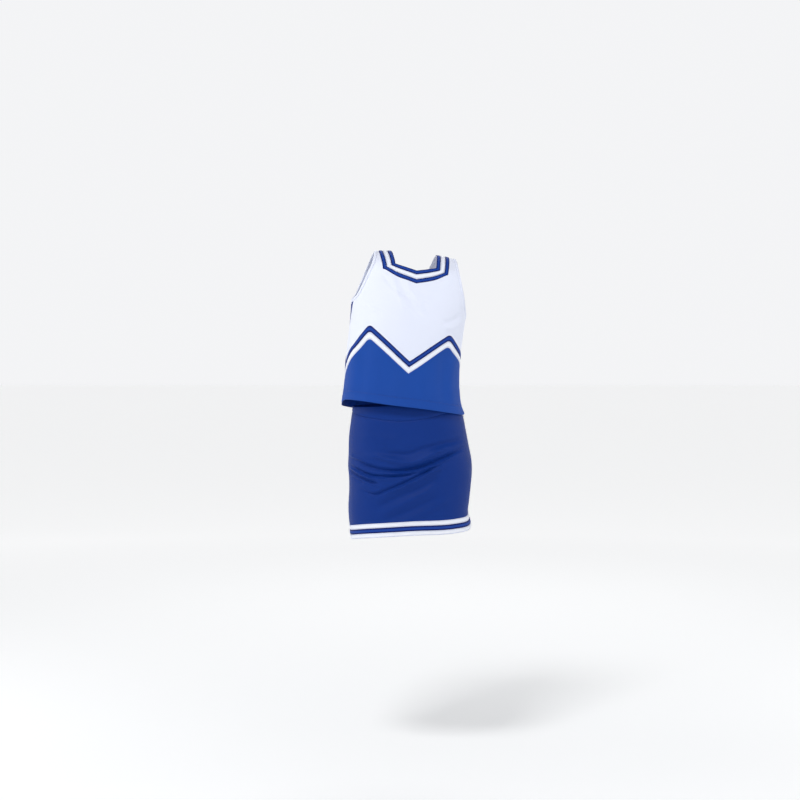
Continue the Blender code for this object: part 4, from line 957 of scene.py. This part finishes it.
CHEVRON_TIP = 0.1052
CHEVRON_FRONT = {
    -1: [(0.0945, 0.1797), (0.1128, 0.1500), (0.1257, 0.1210)],
    1: [(0.0862, 0.1742), (0.1094, 0.1486), (0.1212, 0.1290)],
}
CHEVRON_SIDE = {-1: 0.0815, 1: 0.1180}
CHEVRON_EASE = 0.0115
CHEVRON_BACK = [(0.0, 0.0980), (0.0780, 0.1630)]


def chevron_front():
    ends = [(side * QUARTER, run_at(CHEVRON_SIDE[side]) - TOP) for side in (1, -1)]
    left = [strap(x, z) for x, z in CHEVRON_FRONT[1]]
    right = [strap(-x, z) for x, z in CHEVRON_FRONT[-1]]
    leg_left = curve_through([ends[0]] + list(reversed(left)), 3)
    leg_right = curve_through(right + [ends[1]], 3)
    return leg_left + [strap(0.0, CHEVRON_TIP)] + leg_right


def chevron_back(side):
    start = (side * QUARTER, TOP - run_at(CHEVRON_SIDE[side]))
    apex = strap(side * CHEVRON_BACK[1][0], CHEVRON_BACK[1][1], True)
    middle = strap(side * 0.118, 0.132, True)
    centre = strap(0.0, CHEVRON_BACK[0][1], True)
    return curve_through([start, middle, apex], 3) + [centre]


def eased(path, reach=CHEVRON_EASE, steps=8):
    """The path with its peaks at the sides rounded. The point at the centre stays sharp."""
    out = list(path)
    for i in range(len(path) - 2, 0, -1):
        peak = path[i]
        if abs(peak[0]) < 0.03 or turn_at(path, i) < math.radians(24):
            continue
        ends = []
        for way in (-1, 1):
            j = i + way
            while 0 < j < len(path) - 1 and math.dist(path[j], peak) < reach:
                j += way
            size = math.dist(path[j], peak)
            share = min(1.0, reach / size)
            ends.append((j, tuple(p + (q - p) * share for p, q in zip(peak, path[j]))))
        (a, start), (b, end) = ends
        arc = []
        for k in range(steps + 1):
            t = k / steps
            shares = (1 - t) ** 2, 2 * t * (1 - t), t * t
            arc.append(tuple(sum(a * b for a, b in zip(shares, spots)) for spots in zip(start, peak, end)))
        out = out[: a + 1] + arc + out[b:]
    return out


def stripe_edge(path, distance, side=1):
    """A chevron edge moved down the cloth, its ends held on the lines they start and stop on."""
    if not distance:
        return eased(path)
    moved = offset(path, distance * side)
    ends = []
    for i, j in ((0, 1), (-1, -2)):
        a, b = moved[i], moved[j]
        ends.append((path[i][0], a[1] + (b[1] - a[1]) * (path[i][0] - a[0]) / (b[0] - a[0])))
    return eased([ends[0]] + moved[1:-1] + [ends[1]])


def trimmed(path, low, high):
    """The part of a path whose first coordinate lies between two values."""
    kept = []
    for a, b in zip(path, path[1:]):
        steps = [(a, 0.0)]
        for value in (low, high):
            if (a[0] - value) * (b[0] - value) < 0:
                t = (value - a[0]) / (b[0] - a[0])
                steps.append(((value, a[1] + (b[1] - a[1]) * t), t))
        kept += [p for p, _ in sorted(steps, key=lambda step: step[1])]
    kept.append(path[-1])
    return [p for p in kept if low - 1e-9 <= p[0] <= high + 1e-9]


HEM_KEYS = Table(
    (
        (-2.0, -0.0125), (-1.6, -0.0165), (-1.3, -0.0140), (-1.0, -0.0045), (-0.9, 0.0030), (-0.78, 0.0064),
        (-0.55, 0.0073), (-0.15, 0.0046), (0.3, 0.0017), (0.55, -0.0015), (0.8, -0.0035), (1.0, -0.0010),
        (1.5, -0.0070), (2.0, -0.0125),
    )
)


def hem_line(low, high, lift, count=22):
    return [(u, float(HEM_KEYS(u / QUARTER)[0]) + lift) for u in spread(low, high, count)]


def gusset_tip(side):
    return run_at(ARMHOLE_LOW[side]) - BINDING - GUSSET_DROP


def side_edge(side, back):
    """The edge of an upper panel beside the gusset, from the gusset's point up to the armhole binding."""
    band = armhole_band(side, BINDING + GAP)
    half = list(reversed(band)) if back else band
    inner = QUARTER - GUSSET_HALF - GAP
    top = None
    for a, b in zip(half, half[1:]):
        if abs(b[0]) <= inner:
            t = (abs(a[0]) - inner) / (abs(a[0]) - abs(b[0]))
            top = (side * inner, a[1] + (b[1] - a[1]) * t)
            break
    tau = gusset_tip(side) - TOP
    return (side * (QUARTER - SEAM), -tau if back else tau), top


def band_inside(side, back):
    """The armhole line of an upper panel from beside the gusset to just short of the shoulder line."""
    band = armhole_band(side, BINDING + GAP)
    limit = QUARTER - GUSSET_HALF - GAP
    if back:
        part = [p for p in reversed(band) if p[1] > SEAM and abs(p[0]) < limit]
    else:
        part = [p for p in band if p[1] < -SEAM and abs(p[0]) < limit]
    nearest = min(band, key=lambda p: abs(p[1]))
    return part + [(nearest[0], SEAM if back else -SEAM)]


def gusset_outline(side, band):
    """The wedge under the arm, in girdle coordinates. Its head follows the armhole's binding."""
    limit = QUARTER - GUSSET_HALF
    back_top, front_top = side_edge(side, True)[1], side_edge(side, False)[1]
    head = [(2 * QUARTER - limit, TOP - back_top[1])]
    head += [(2 * QUARTER - abs(s), TOP - tau) for s, tau in band if tau > 0 and abs(s) > limit + GAP]
    head += [(abs(s), TOP + tau) for s, tau in band[1:] if tau < 0 and abs(s) > limit + GAP]
    return [(QUARTER, gusset_tip(side) + 0.0022)] + head + [(limit, TOP + front_top[1])]


# ---- patterns of the skirt ----
WAIST_SEAM = (
    (-1.0, -0.0150), (-0.5, -0.0290), (-0.1, -0.0382), (0.2, -0.0352), (0.5, -0.0265), (1.0, -0.0225),
    (1.6, -0.0290), (2.0, -0.0310),
)
SKIRT_HEM = (
    (-1.0, -0.3040), (-0.55, -0.2958), (-0.1, -0.2925), (0.5, -0.2948), (0.8, -0.2925), (1.0, -0.2835),
    (1.5, -0.2930), (2.0, -0.2965),
)
WAIST_TOP = -0.0040
SKIRT_ZIP = (-0.1280, -0.0300)


def ring_table(keys):
    return Table([(-2.0, keys[-1][1]), (-1.5, 0.5 * (keys[-1][1] + keys[0][1]))] + list(keys))


RING_TABLES = {id(keys): ring_table(keys) for keys in (WAIST_SEAM, SKIRT_HEM)}


def seam_height(keys, u):
    """A height round the skirt, from the front centre towards the wearer's left."""
    return RING_TABLES[id(keys)]((np.asarray(u) / QUARTER + 2.0) % 4.0 - 2.0)[..., 0]


def skirt_line(keys, low, high, lift, count=40):
    return [(u, float(seam_height(keys, u)) + lift) for u in spread(low, high, count)]


class Ring(Skin):
    """The shell's skin read by coordinates that run right round the body and up from the hem."""

    def surface(self, u, v):
        return super().surface(*strap_from_ring(np.asarray(u), np.asarray(v)))


SHELL = Skin(shell_point, SHELL_PIVOT, SHELL_TURN, shell_swell, "shell")
GIRDLE = Ring(shell_point, SHELL_PIVOT, SHELL_TURN, shell_swell, "shell")
SKIRT = Skin(skirt_point, SKIRT_PIVOT, SKIRT_TURN, skirt_swell, "skirt")


def build_shell():
    edge = chevron_front()
    up = QUARTER - SEAM
    neck = neckline()
    neck_front = [p for p in neck if p[1] < -SEAM]
    shoulder = {1: neck[4][0], -1: neck[-5][0]}
    white, blue = Stitches(), Stitches()
    braids = {"white": (WHITE_BRAID, white), "blue": (BLUE_BRAID, blue)}

    def upper_side(side, back):
        low, top = side_edge(side, back)
        return [low, top] + band_inside(side, back)

    outline = trimmed(stripe_edge(edge, CHEVRON_BLUE - SEAM), -up, up)
    outline += upper_side(-1, False) + [(shoulder[-1], -SEAM)] + list(reversed(neck_front))
    outline += [(shoulder[1], -SEAM)] + list(reversed(upper_side(1, False)))
    panel("front_yoke", SHELL, outline, 0.0, CLOTH, WHITE)
    outline = trimmed(stripe_edge(edge, CHEVRON_BLUE + SEAM), -up, up)
    outline += [(u, v - TOP) for u, v in hem_line(-up, up, 0.0, 16)]
    panel("front_body_panel", SHELL, outline, 0.0, CLOTH, ROYAL)

    bands = ((0.0, CHEVRON_BLUE - GAP, "blue"), (CHEVRON_BLUE + GAP, CHEVRON_BLUE + CHEVRON_WHITE, "white"))
    for low, high, tone in bands:
        mat, rows = braids[tone]
        for side, label in ((0, "front"), (1, "left"), (-1, "right")):
            path = edge if not side else chevron_back(side)
            ends = (-up, up) if not side else ((SLOT + 0.0006, up) if side > 0 else (-up, -SLOT - 0.0006))
            node = f"front_chevron_{tone}" if not side else f"back_chevron_{tone}_{label}"

            def rail(share, path=path, side=side, low=low, high=high, ends=ends):
                sign = 1 if not side else -side
                return trimmed(stripe_edge(path, low + (high - low) * share, sign), *ends)

            strip(node, SHELL, rail, BRAID_PROFILE, BRAID_BASE, mat)
            rows.braid_edges(SHELL, rail)

    closed = run_at(0.004)
    for side, label in ((1, "left"), (-1, "right")):
        back_edge = chevron_back(side)

        def part(distance, inner, side=side, back_edge=back_edge):
            low, high = (inner, up) if side > 0 else (-up, -inner)
            return trimmed(stripe_edge(back_edge, distance, -side), low, high)

        half = neck[:5] if side > 0 else list(reversed(neck[-5:]))
        outline = part(CHEVRON_BLUE - SEAM, SLOT) + [(side * SLOT, half[0][1])] + half[:4]
        outline += [(shoulder[side], SEAM)] + list(reversed(upper_side(side, True)))
        panel(f"back_yoke_{label}", SHELL, outline, 0.0, CLOTH, WHITE)
        outline = part(CHEVRON_BLUE + SEAM, SLOT)
        outline += [(side * SLOT, TOP - closed - 0.003), (side * SEAM, TOP - closed)]
        hem = hem_line(QUARTER + SEAM, 2 * QUARTER - SEAM, 0.0, 8)
        outline += [(side * (2 * QUARTER - u), TOP - v) for u, v in reversed(hem)]
        panel(f"back_body_panel_{label}", SHELL, outline, 0.0, CLOTH, ROYAL)

        def round_arm(share, side=side):
            return armhole_band(side, BINDING * share)

        strip(f"armhole_binding_{label}", SHELL, round_arm, BINDING_PROFILE, 0.0, WHITE)
        white.row(SHELL, round_arm(0.80), 0.0017)

        band = armhole_band(side, BINDING + GAP)
        outline = [(side * u, v) for u, v in gusset_outline(side, band)]
        panel(f"underarm_gusset_{label}", GIRDLE, outline, 0.0, CLOTH, PLAIN_BLUE, 0.0015)

        ends = (TOP - run_at(0.006), TOP - run_at(0.3005))
        outline = [(side * TAPE_NEAR, ends[0]), (side * TAPE_NEAR, ends[1]), (side * TAPE_EDGE, ends[1])]
        outline += [(side * TAPE_EDGE, ends[0])]
        panel(f"shell_zip_tape_{label}", SHELL, outline, TAPE_LOW, TAPE_HIGH, PLAIN_BLUE, COARSE_PITCH)
        split = TOP - run_at(0.0980) + 0.0130
        stops = (0.012, 0.060, 0.086)
        blue.row(SHELL, [(side * ZIP_STITCH, TOP - run_at(z)) for z in stops], ON_CLOTH)
        stops = (split - 0.0300, 0.5 * split, TOP - run_at(0.300) + 0.030)
        white.row(SHELL, [(side * ZIP_STITCH, tau) for tau in stops], ON_CLOTH)

    for i, tone in enumerate(("blue", "white", "blue")):
        node = ("neck_braid_inner", "neck_braid_middle", "neck_braid_outer")[i]
        low, high = i * BRAID_WIDTH, (i + 1) * BRAID_WIDTH - 2 * GAP

        def round_neck(share, low=low, high=high):
            return neck_rail(low + (high - low) * share)

        mat, rows = braids[tone]
        strip(node, SHELL, round_neck, BRAID_PROFILE, BRAID_BASE, mat)
        rows.braid_edges(SHELL, round_neck)

    def facing(share):
        return neck_rail(0.018 * share, TAPE_EDGE + 0.001)

    strip("neck_facing", SHELL, facing, FACING_PROFILE, FACING_BASE, LINING, COARSE_PITCH)
    stop = 2 * QUARTER - TAPE_EDGE - 0.001

    def turned_up(share):
        return hem_line(-stop, stop, 0.0014 + FACING * share, 32)

    strip("shell_hem_facing", GIRDLE, turned_up, FACING_PROFILE, FACING_BASE, ROYAL, COARSE_PITCH)
    for lift in (0.0180, 0.0200):
        for low, high in ((-2 * QUARTER + 0.012, -QUARTER), (-QUARTER, QUARTER), (QUARTER, 2 * QUARTER - 0.012)):
            blue.row(GIRDLE, hem_line(low + 0.002, high - 0.002, lift, 16), 0.0011)
    low, high = TOP - run_at(0.2780), TOP - run_at(0.2580)
    outline = [(-0.050, high), (-0.020, high), (-0.020, low), (-0.050, low)]
    panel("neck_label", SHELL, outline, LABEL_LOW, LABEL_HIGH, LINING, COARSE_PITCH)
    white.piece("shell_stitching_white", WHITE_THREAD, "shell")
    blue.piece("shell_stitching_blue", BLUE_THREAD, "shell")


def build_skirt():
    left = QUARTER
    zip_low, zip_high = SKIRT_ZIP
    white, blue = Stitches(), Stitches()
    drop = 0.0012

    def zip_edge(u, sign):
        return [(u + sign * SLOT, zip_low - 0.006), (u + sign * SEAM, zip_low - 0.009)]

    top = skirt_line(WAIST_SEAM, -left + SEAM, left - SLOT, -SEAM, 16)
    hem = skirt_line(SKIRT_HEM, -left + SEAM, left - SEAM, drop, 16)
    outline = top + zip_edge(left, -1) + list(reversed(hem))
    panel("skirt_front_panel", SKIRT, outline, 0.0, CLOTH, SKIRT_BLUE)
    top = skirt_line(WAIST_SEAM, left + SLOT, 3 * left - SEAM, -SEAM, 16)
    hem = skirt_line(SKIRT_HEM, left + SEAM, 3 * left - SEAM, drop, 16)
    outline = list(reversed(top)) + zip_edge(left, 1) + hem
    panel("skirt_back_panel", SKIRT, outline, 0.0, CLOTH, SKIRT_BLUE)

    def band(low_lift, top_height, low, high):
        def rail(share):
            low_line = skirt_line(WAIST_SEAM, low, high, low_lift, 32)
            return [(u, v + (top_height - v) * share) for u, v in low_line]

        return rail

    rail = band(SEAM, WAIST_TOP, left + 0.0006, 5 * left - 0.0006)
    strip("skirt_waistband", SKIRT, rail, WAISTBAND_PROFILE, 0.0, SKIRT_BLUE, COARSE_PITCH)
    rail = band(0.0015, WAIST_TOP - 0.001, left + 0.006, 5 * left - 0.006)
    strip("skirt_waistband_facing", SKIRT, rail, BEHIND_PROFILE, -0.0013, SKIRT_BLUE, COARSE_PITCH)

    stripes = (
        ("hem_stripe_lower_white", 0.0, 0.0104, WHITE_BRAID, white),
        ("hem_stripe_middle_blue", 0.0110, 0.0208, BLUE_BRAID, blue),
        ("hem_stripe_upper_white", 0.0214, 0.0318, WHITE_BRAID, white),
    )
    for node, low, high, mat, rows in stripes:

        def rail(share, low=low, high=high):
            return skirt_line(SKIRT_HEM, 0.0, 4 * left, low + (high - low) * share, 64)

        strip(node, SKIRT, rail, BRAID_PROFILE, BRAID_BASE, mat)
        rows.braid_edges(SKIRT, rail)

    def turned_up(share):
        return skirt_line(SKIRT_HEM, 0.0, 4 * left, drop + (0.024 - drop) * share, 64)

    strip("skirt_hem_facing", SKIRT, turned_up, FACING_PROFILE, FACING_BASE, SKIRT_BLUE, COARSE_PITCH)

    for sign, label in ((-1, "front"), (1, "back")):
        near, far = left + sign * TAPE_NEAR, left + sign * TAPE_EDGE
        low, high = zip_low - 0.006, zip_high + 0.0045
        outline = [(near, low), (far, low), (far, high), (near, high)]
        panel(f"skirt_zip_tape_{label}", SKIRT, outline, TAPE_LOW, TAPE_HIGH, PLAIN_BLUE, COARSE_PITCH)
        stops = (zip_low - 0.004, -0.080, zip_high + 0.004)
        blue.row(SKIRT, [(left + sign * ZIP_STITCH, z) for z in stops], ON_CLOTH)
    blue.row(SKIRT, skirt_line(WAIST_SEAM, left + 0.010, 5 * left - 0.010, -0.0024), 0.0010)
    centre = 2 * left + 0.05
    outline = [(centre, -0.048), (centre + 0.03, -0.048), (centre + 0.03, -0.068), (centre, -0.068)]
    panel("waist_label", SKIRT, outline, LABEL_LOW, LABEL_HIGH, LINING, COARSE_PITCH)
    white.piece("skirt_stitching_white", WHITE_THREAD, "skirt")
    blue.piece("skirt_stitching_blue", BLUE_THREAD, "skirt")


# ---- zips ----


def loops(side, count, pitch, start):
    """Coil loops in a zip's frame: x across it, y out of the cloth, z up it."""
    half = [(0.0021, 0.0001), (0.0012, 0.0002), (0.0004, 0.0001), (-0.0004, -0.0006)]
    path = np.array(half + [(x, -0.0012 - y) for x, y in half[-2::-1]])
    radius = np.array([0.00034, 0.00036, 0.00042, 0.00050, 0.00042, 0.00036, 0.00034])
    sides = 7
    angle = np.linspace(0.0, 2 * math.pi, sides, endpoint=False)
    along = np.gradient(path, axis=0)
    along /= np.linalg.norm(along, axis=1, keepdims=True)
    across = np.column_stack([-along[:, 1], along[:, 0]])
    rings = []
    for p, n, r in zip(path, across, radius):
        out = r * np.cos(angle)
        rings.append(np.column_stack([p[0] + n[0] * out, p[1] + n[1] * out, r * np.sin(angle)]))
    one = np.concatenate(rings)
    one[:, 0] *= side
    quads = []
    for i in range(len(path) - 1):
        for k in range(sides):
            a, b = i * sides + k, i * sides + (k + 1) % sides
            quads.append((a, b, b + sides, a + sides) if side > 0 else (b, a, a + sides, b + sides))
    heights = start + pitch * np.arange(count)
    verts = one[None] + np.stack([0 * heights, 0 * heights, heights], axis=1)[:, None]
    quads = np.array(quads)[None] + (len(one) * np.arange(count))[:, None, None]
    caps = []
    for k in range(1, sides - 1):
        low, high = (0, k, k + 1), tuple((len(path) - 1) * sides + c for c in (0, k + 1, k))
        caps += [low[::-1], high[::-1]] if side > 0 else [low, high]
    caps = np.array(caps)[None] + (len(one) * np.arange(count))[:, None, None]
    return verts.reshape(-1, 3), quads.reshape(-1, 4), caps.reshape(-1, 3)


def build_zip(prefix, sides, skin, low, high, out):
    """A zip's coil on a straight line between two places on a skin without folds, in the garment's frame."""
    up = (high - low).normalized()
    out = (out - up * out.dot(up)).normalized()
    turned = Matrix((out.cross(up), out, up)).transposed().to_4x4()
    place = np.array(skin.pose @ Matrix.Translation(low) @ turned)
    length = (high - low).length
    pitch = 0.00145
    for side, label in zip((1, -1), sides):
        count = int((length - 0.001) / pitch)
        verts, quads, caps = loops(side, count, pitch, 0.0006 if side > 0 else 0.0006 + 0.5 * pitch)
        verts = verts @ place[:3, :3].T + place[:3, 3]
        mesh = mesh_of(f"{prefix}_zip_coil_{label}", verts, caps, quads)
        adopt(mesh.name, mesh, COIL, skin.body, f"{prefix}_zip_teeth_{label}")


def raw(point, a, b):
    return Vector(point(np.array(a, dtype=float), np.array(b, dtype=float)))


def build_zips():
    low = raw(shell_point, 0.0, TOP - run_at(0.0125))
    high = raw(shell_point, 0.0, TOP - run_at(0.2960))
    build_zip("shell", ("left", "right"), SHELL, low, high, Vector((0.0, 1.0, 0.0)))
    low, high = raw(skirt_point, QUARTER, SKIRT_ZIP[0]), raw(skirt_point, QUARTER, SKIRT_ZIP[1])
    build_zip("skirt", ("front", "back"), SKIRT, low, high, Vector((1.0, 0.0, 0.0)))
    for node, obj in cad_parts.items():
        if node.endswith(("_slider", "_pull", "_stop", "_hook", "_eye", "_bar")) or "_stop_" in node:
            if not obj.material_slots:
                obj.data.materials.append(METAL)
            for place in obj.material_slots:
                place.material = METAL


def declare():
    """Looks up every sheet of cloth and lining, then takes the flat size and area off every piece."""
    worn = ("front_yoke", "front_body_panel", "back_yoke_left", "back_yoke_right", "back_body_panel_left")
    worn += ("back_body_panel_right", "skirt_front_panel", "skirt_back_panel", "skirt_waistband")
    lining = ("neck_facing", "shell_hem_facing", "skirt_waistband_facing", "skirt_hem_facing", "neck_label")
    lining += ("waist_label", "underarm_gusset_left", "underarm_gusset_right", "shell_zip_tape_left")
    lining += ("shell_zip_tape_right", "skirt_zip_tape_front", "skirt_zip_tape_back")
    for node in worn + lining:
        piece = pieces[node]
    for piece in pieces.values():
        for key in ("flat", "area"):
            if key in piece:
                del piece[key]


# ---- stage ----


def build_stage():
    scene = bpy.context.scene
    data = bpy.data.cameras.new("camera")
    data.lens = data.sensor_width * CAMERA_AWAY / VIEW_WIDTH
    data.clip_end = 60.0
    camera = bpy.data.objects.new("camera", data)
    scene.collection.objects.link(camera)
    camera.location = (AIM.x, -CAMERA_AWAY, CAMERA_HEIGHT)
    camera.rotation_euler = (AIM - camera.location).to_track_quat("-Z", "Y").to_euler()
    scene.camera = camera

    pale = Nodes("pale floor", (0.93, 0.94, 0.95, 1.0), 0.85)
    cloud = pale.noise(pale.place(), 0.7, 2.0)
    pale.feed("Roughness", pale.math("MULTIPLY_ADD", cloud, 0.1, 0.8))
    # The floor glows a little, more so away from the lamps, to stay as pale as the walls.
    reach = pale.add("ShaderNodeVectorMath", {0: pale.place()}, operation="LENGTH").outputs["Value"]
    links = {"Value": reach, "From Min": 0.8, "From Max": 4.5, "To Min": 0.12, "To Max": 0.56}
    pale.feed("Emission Strength", pale.add("ShaderNodeMapRange", links).outputs["Result"])
    half = 30.0
    corners = [(-half, -half, FLOOR), (half, -half, FLOOR), (half, half, FLOOR), (-half, half, FLOOR)]
    mesh = mesh_of("floor", corners, [], [(0, 1, 2, 3)])
    mesh.materials.append(pale.material)
    floor = bpy.data.objects.new("floor", mesh)
    scene.collection.objects.link(floor)

    world = bpy.data.worlds.new("studio")
    world.use_nodes = True
    # Bright walls low down, a darker ceiling.
    tree = world.node_tree
    background = tree.nodes["Background"]
    background.inputs["Color"].default_value = (0.98, 0.985, 1.0, 1.0)
    direction = tree.nodes.new("ShaderNodeTexCoord")
    split = tree.nodes.new("ShaderNodeSeparateXYZ")
    fall = tree.nodes.new("ShaderNodeMapRange")
    fall.interpolation_type = "SMOOTHSTEP"
    for socket, value in (("From Min", 0.22), ("From Max", 0.60), ("To Min", 0.92), ("To Max", 0.20)):
        fall.inputs[socket].default_value = value
    tree.links.new(direction.outputs["Generated"], split.inputs[0])
    tree.links.new(split.outputs["Z"], fall.inputs["Value"])
    tree.links.new(fall.outputs["Result"], background.inputs["Strength"])
    scene.world = world
    scene.view_settings.view_transform = "Standard"
    lights = (
        ("key", (-0.8, -1.9, 2.6), 0.8, 52.0),
        ("fill", (1.9, -2.0, 0.9), 1.6, 6.0),
        ("left rim", (-2.2, 0.1, 0.7), 1.4, 12.0),
        ("right rim", (2.2, 0.3, 0.6), 1.4, 9.0),
        ("back", (0.3, 2.6, 1.8), 1.6, 22.0),
    )
    for name, place, size, power in lights:
        light = bpy.data.lights.new(name, "AREA")
        light.energy, light.size = power, size
        lamp = bpy.data.objects.new(name, light)
        scene.collection.objects.link(lamp)
        lamp.location = place
        lamp.rotation_euler = (Vector((0, 0, 0)) - lamp.location).to_track_quat("-Z", "Y").to_euler()


build_stage()
build_shell()
build_skirt()
build_zips()
declare()
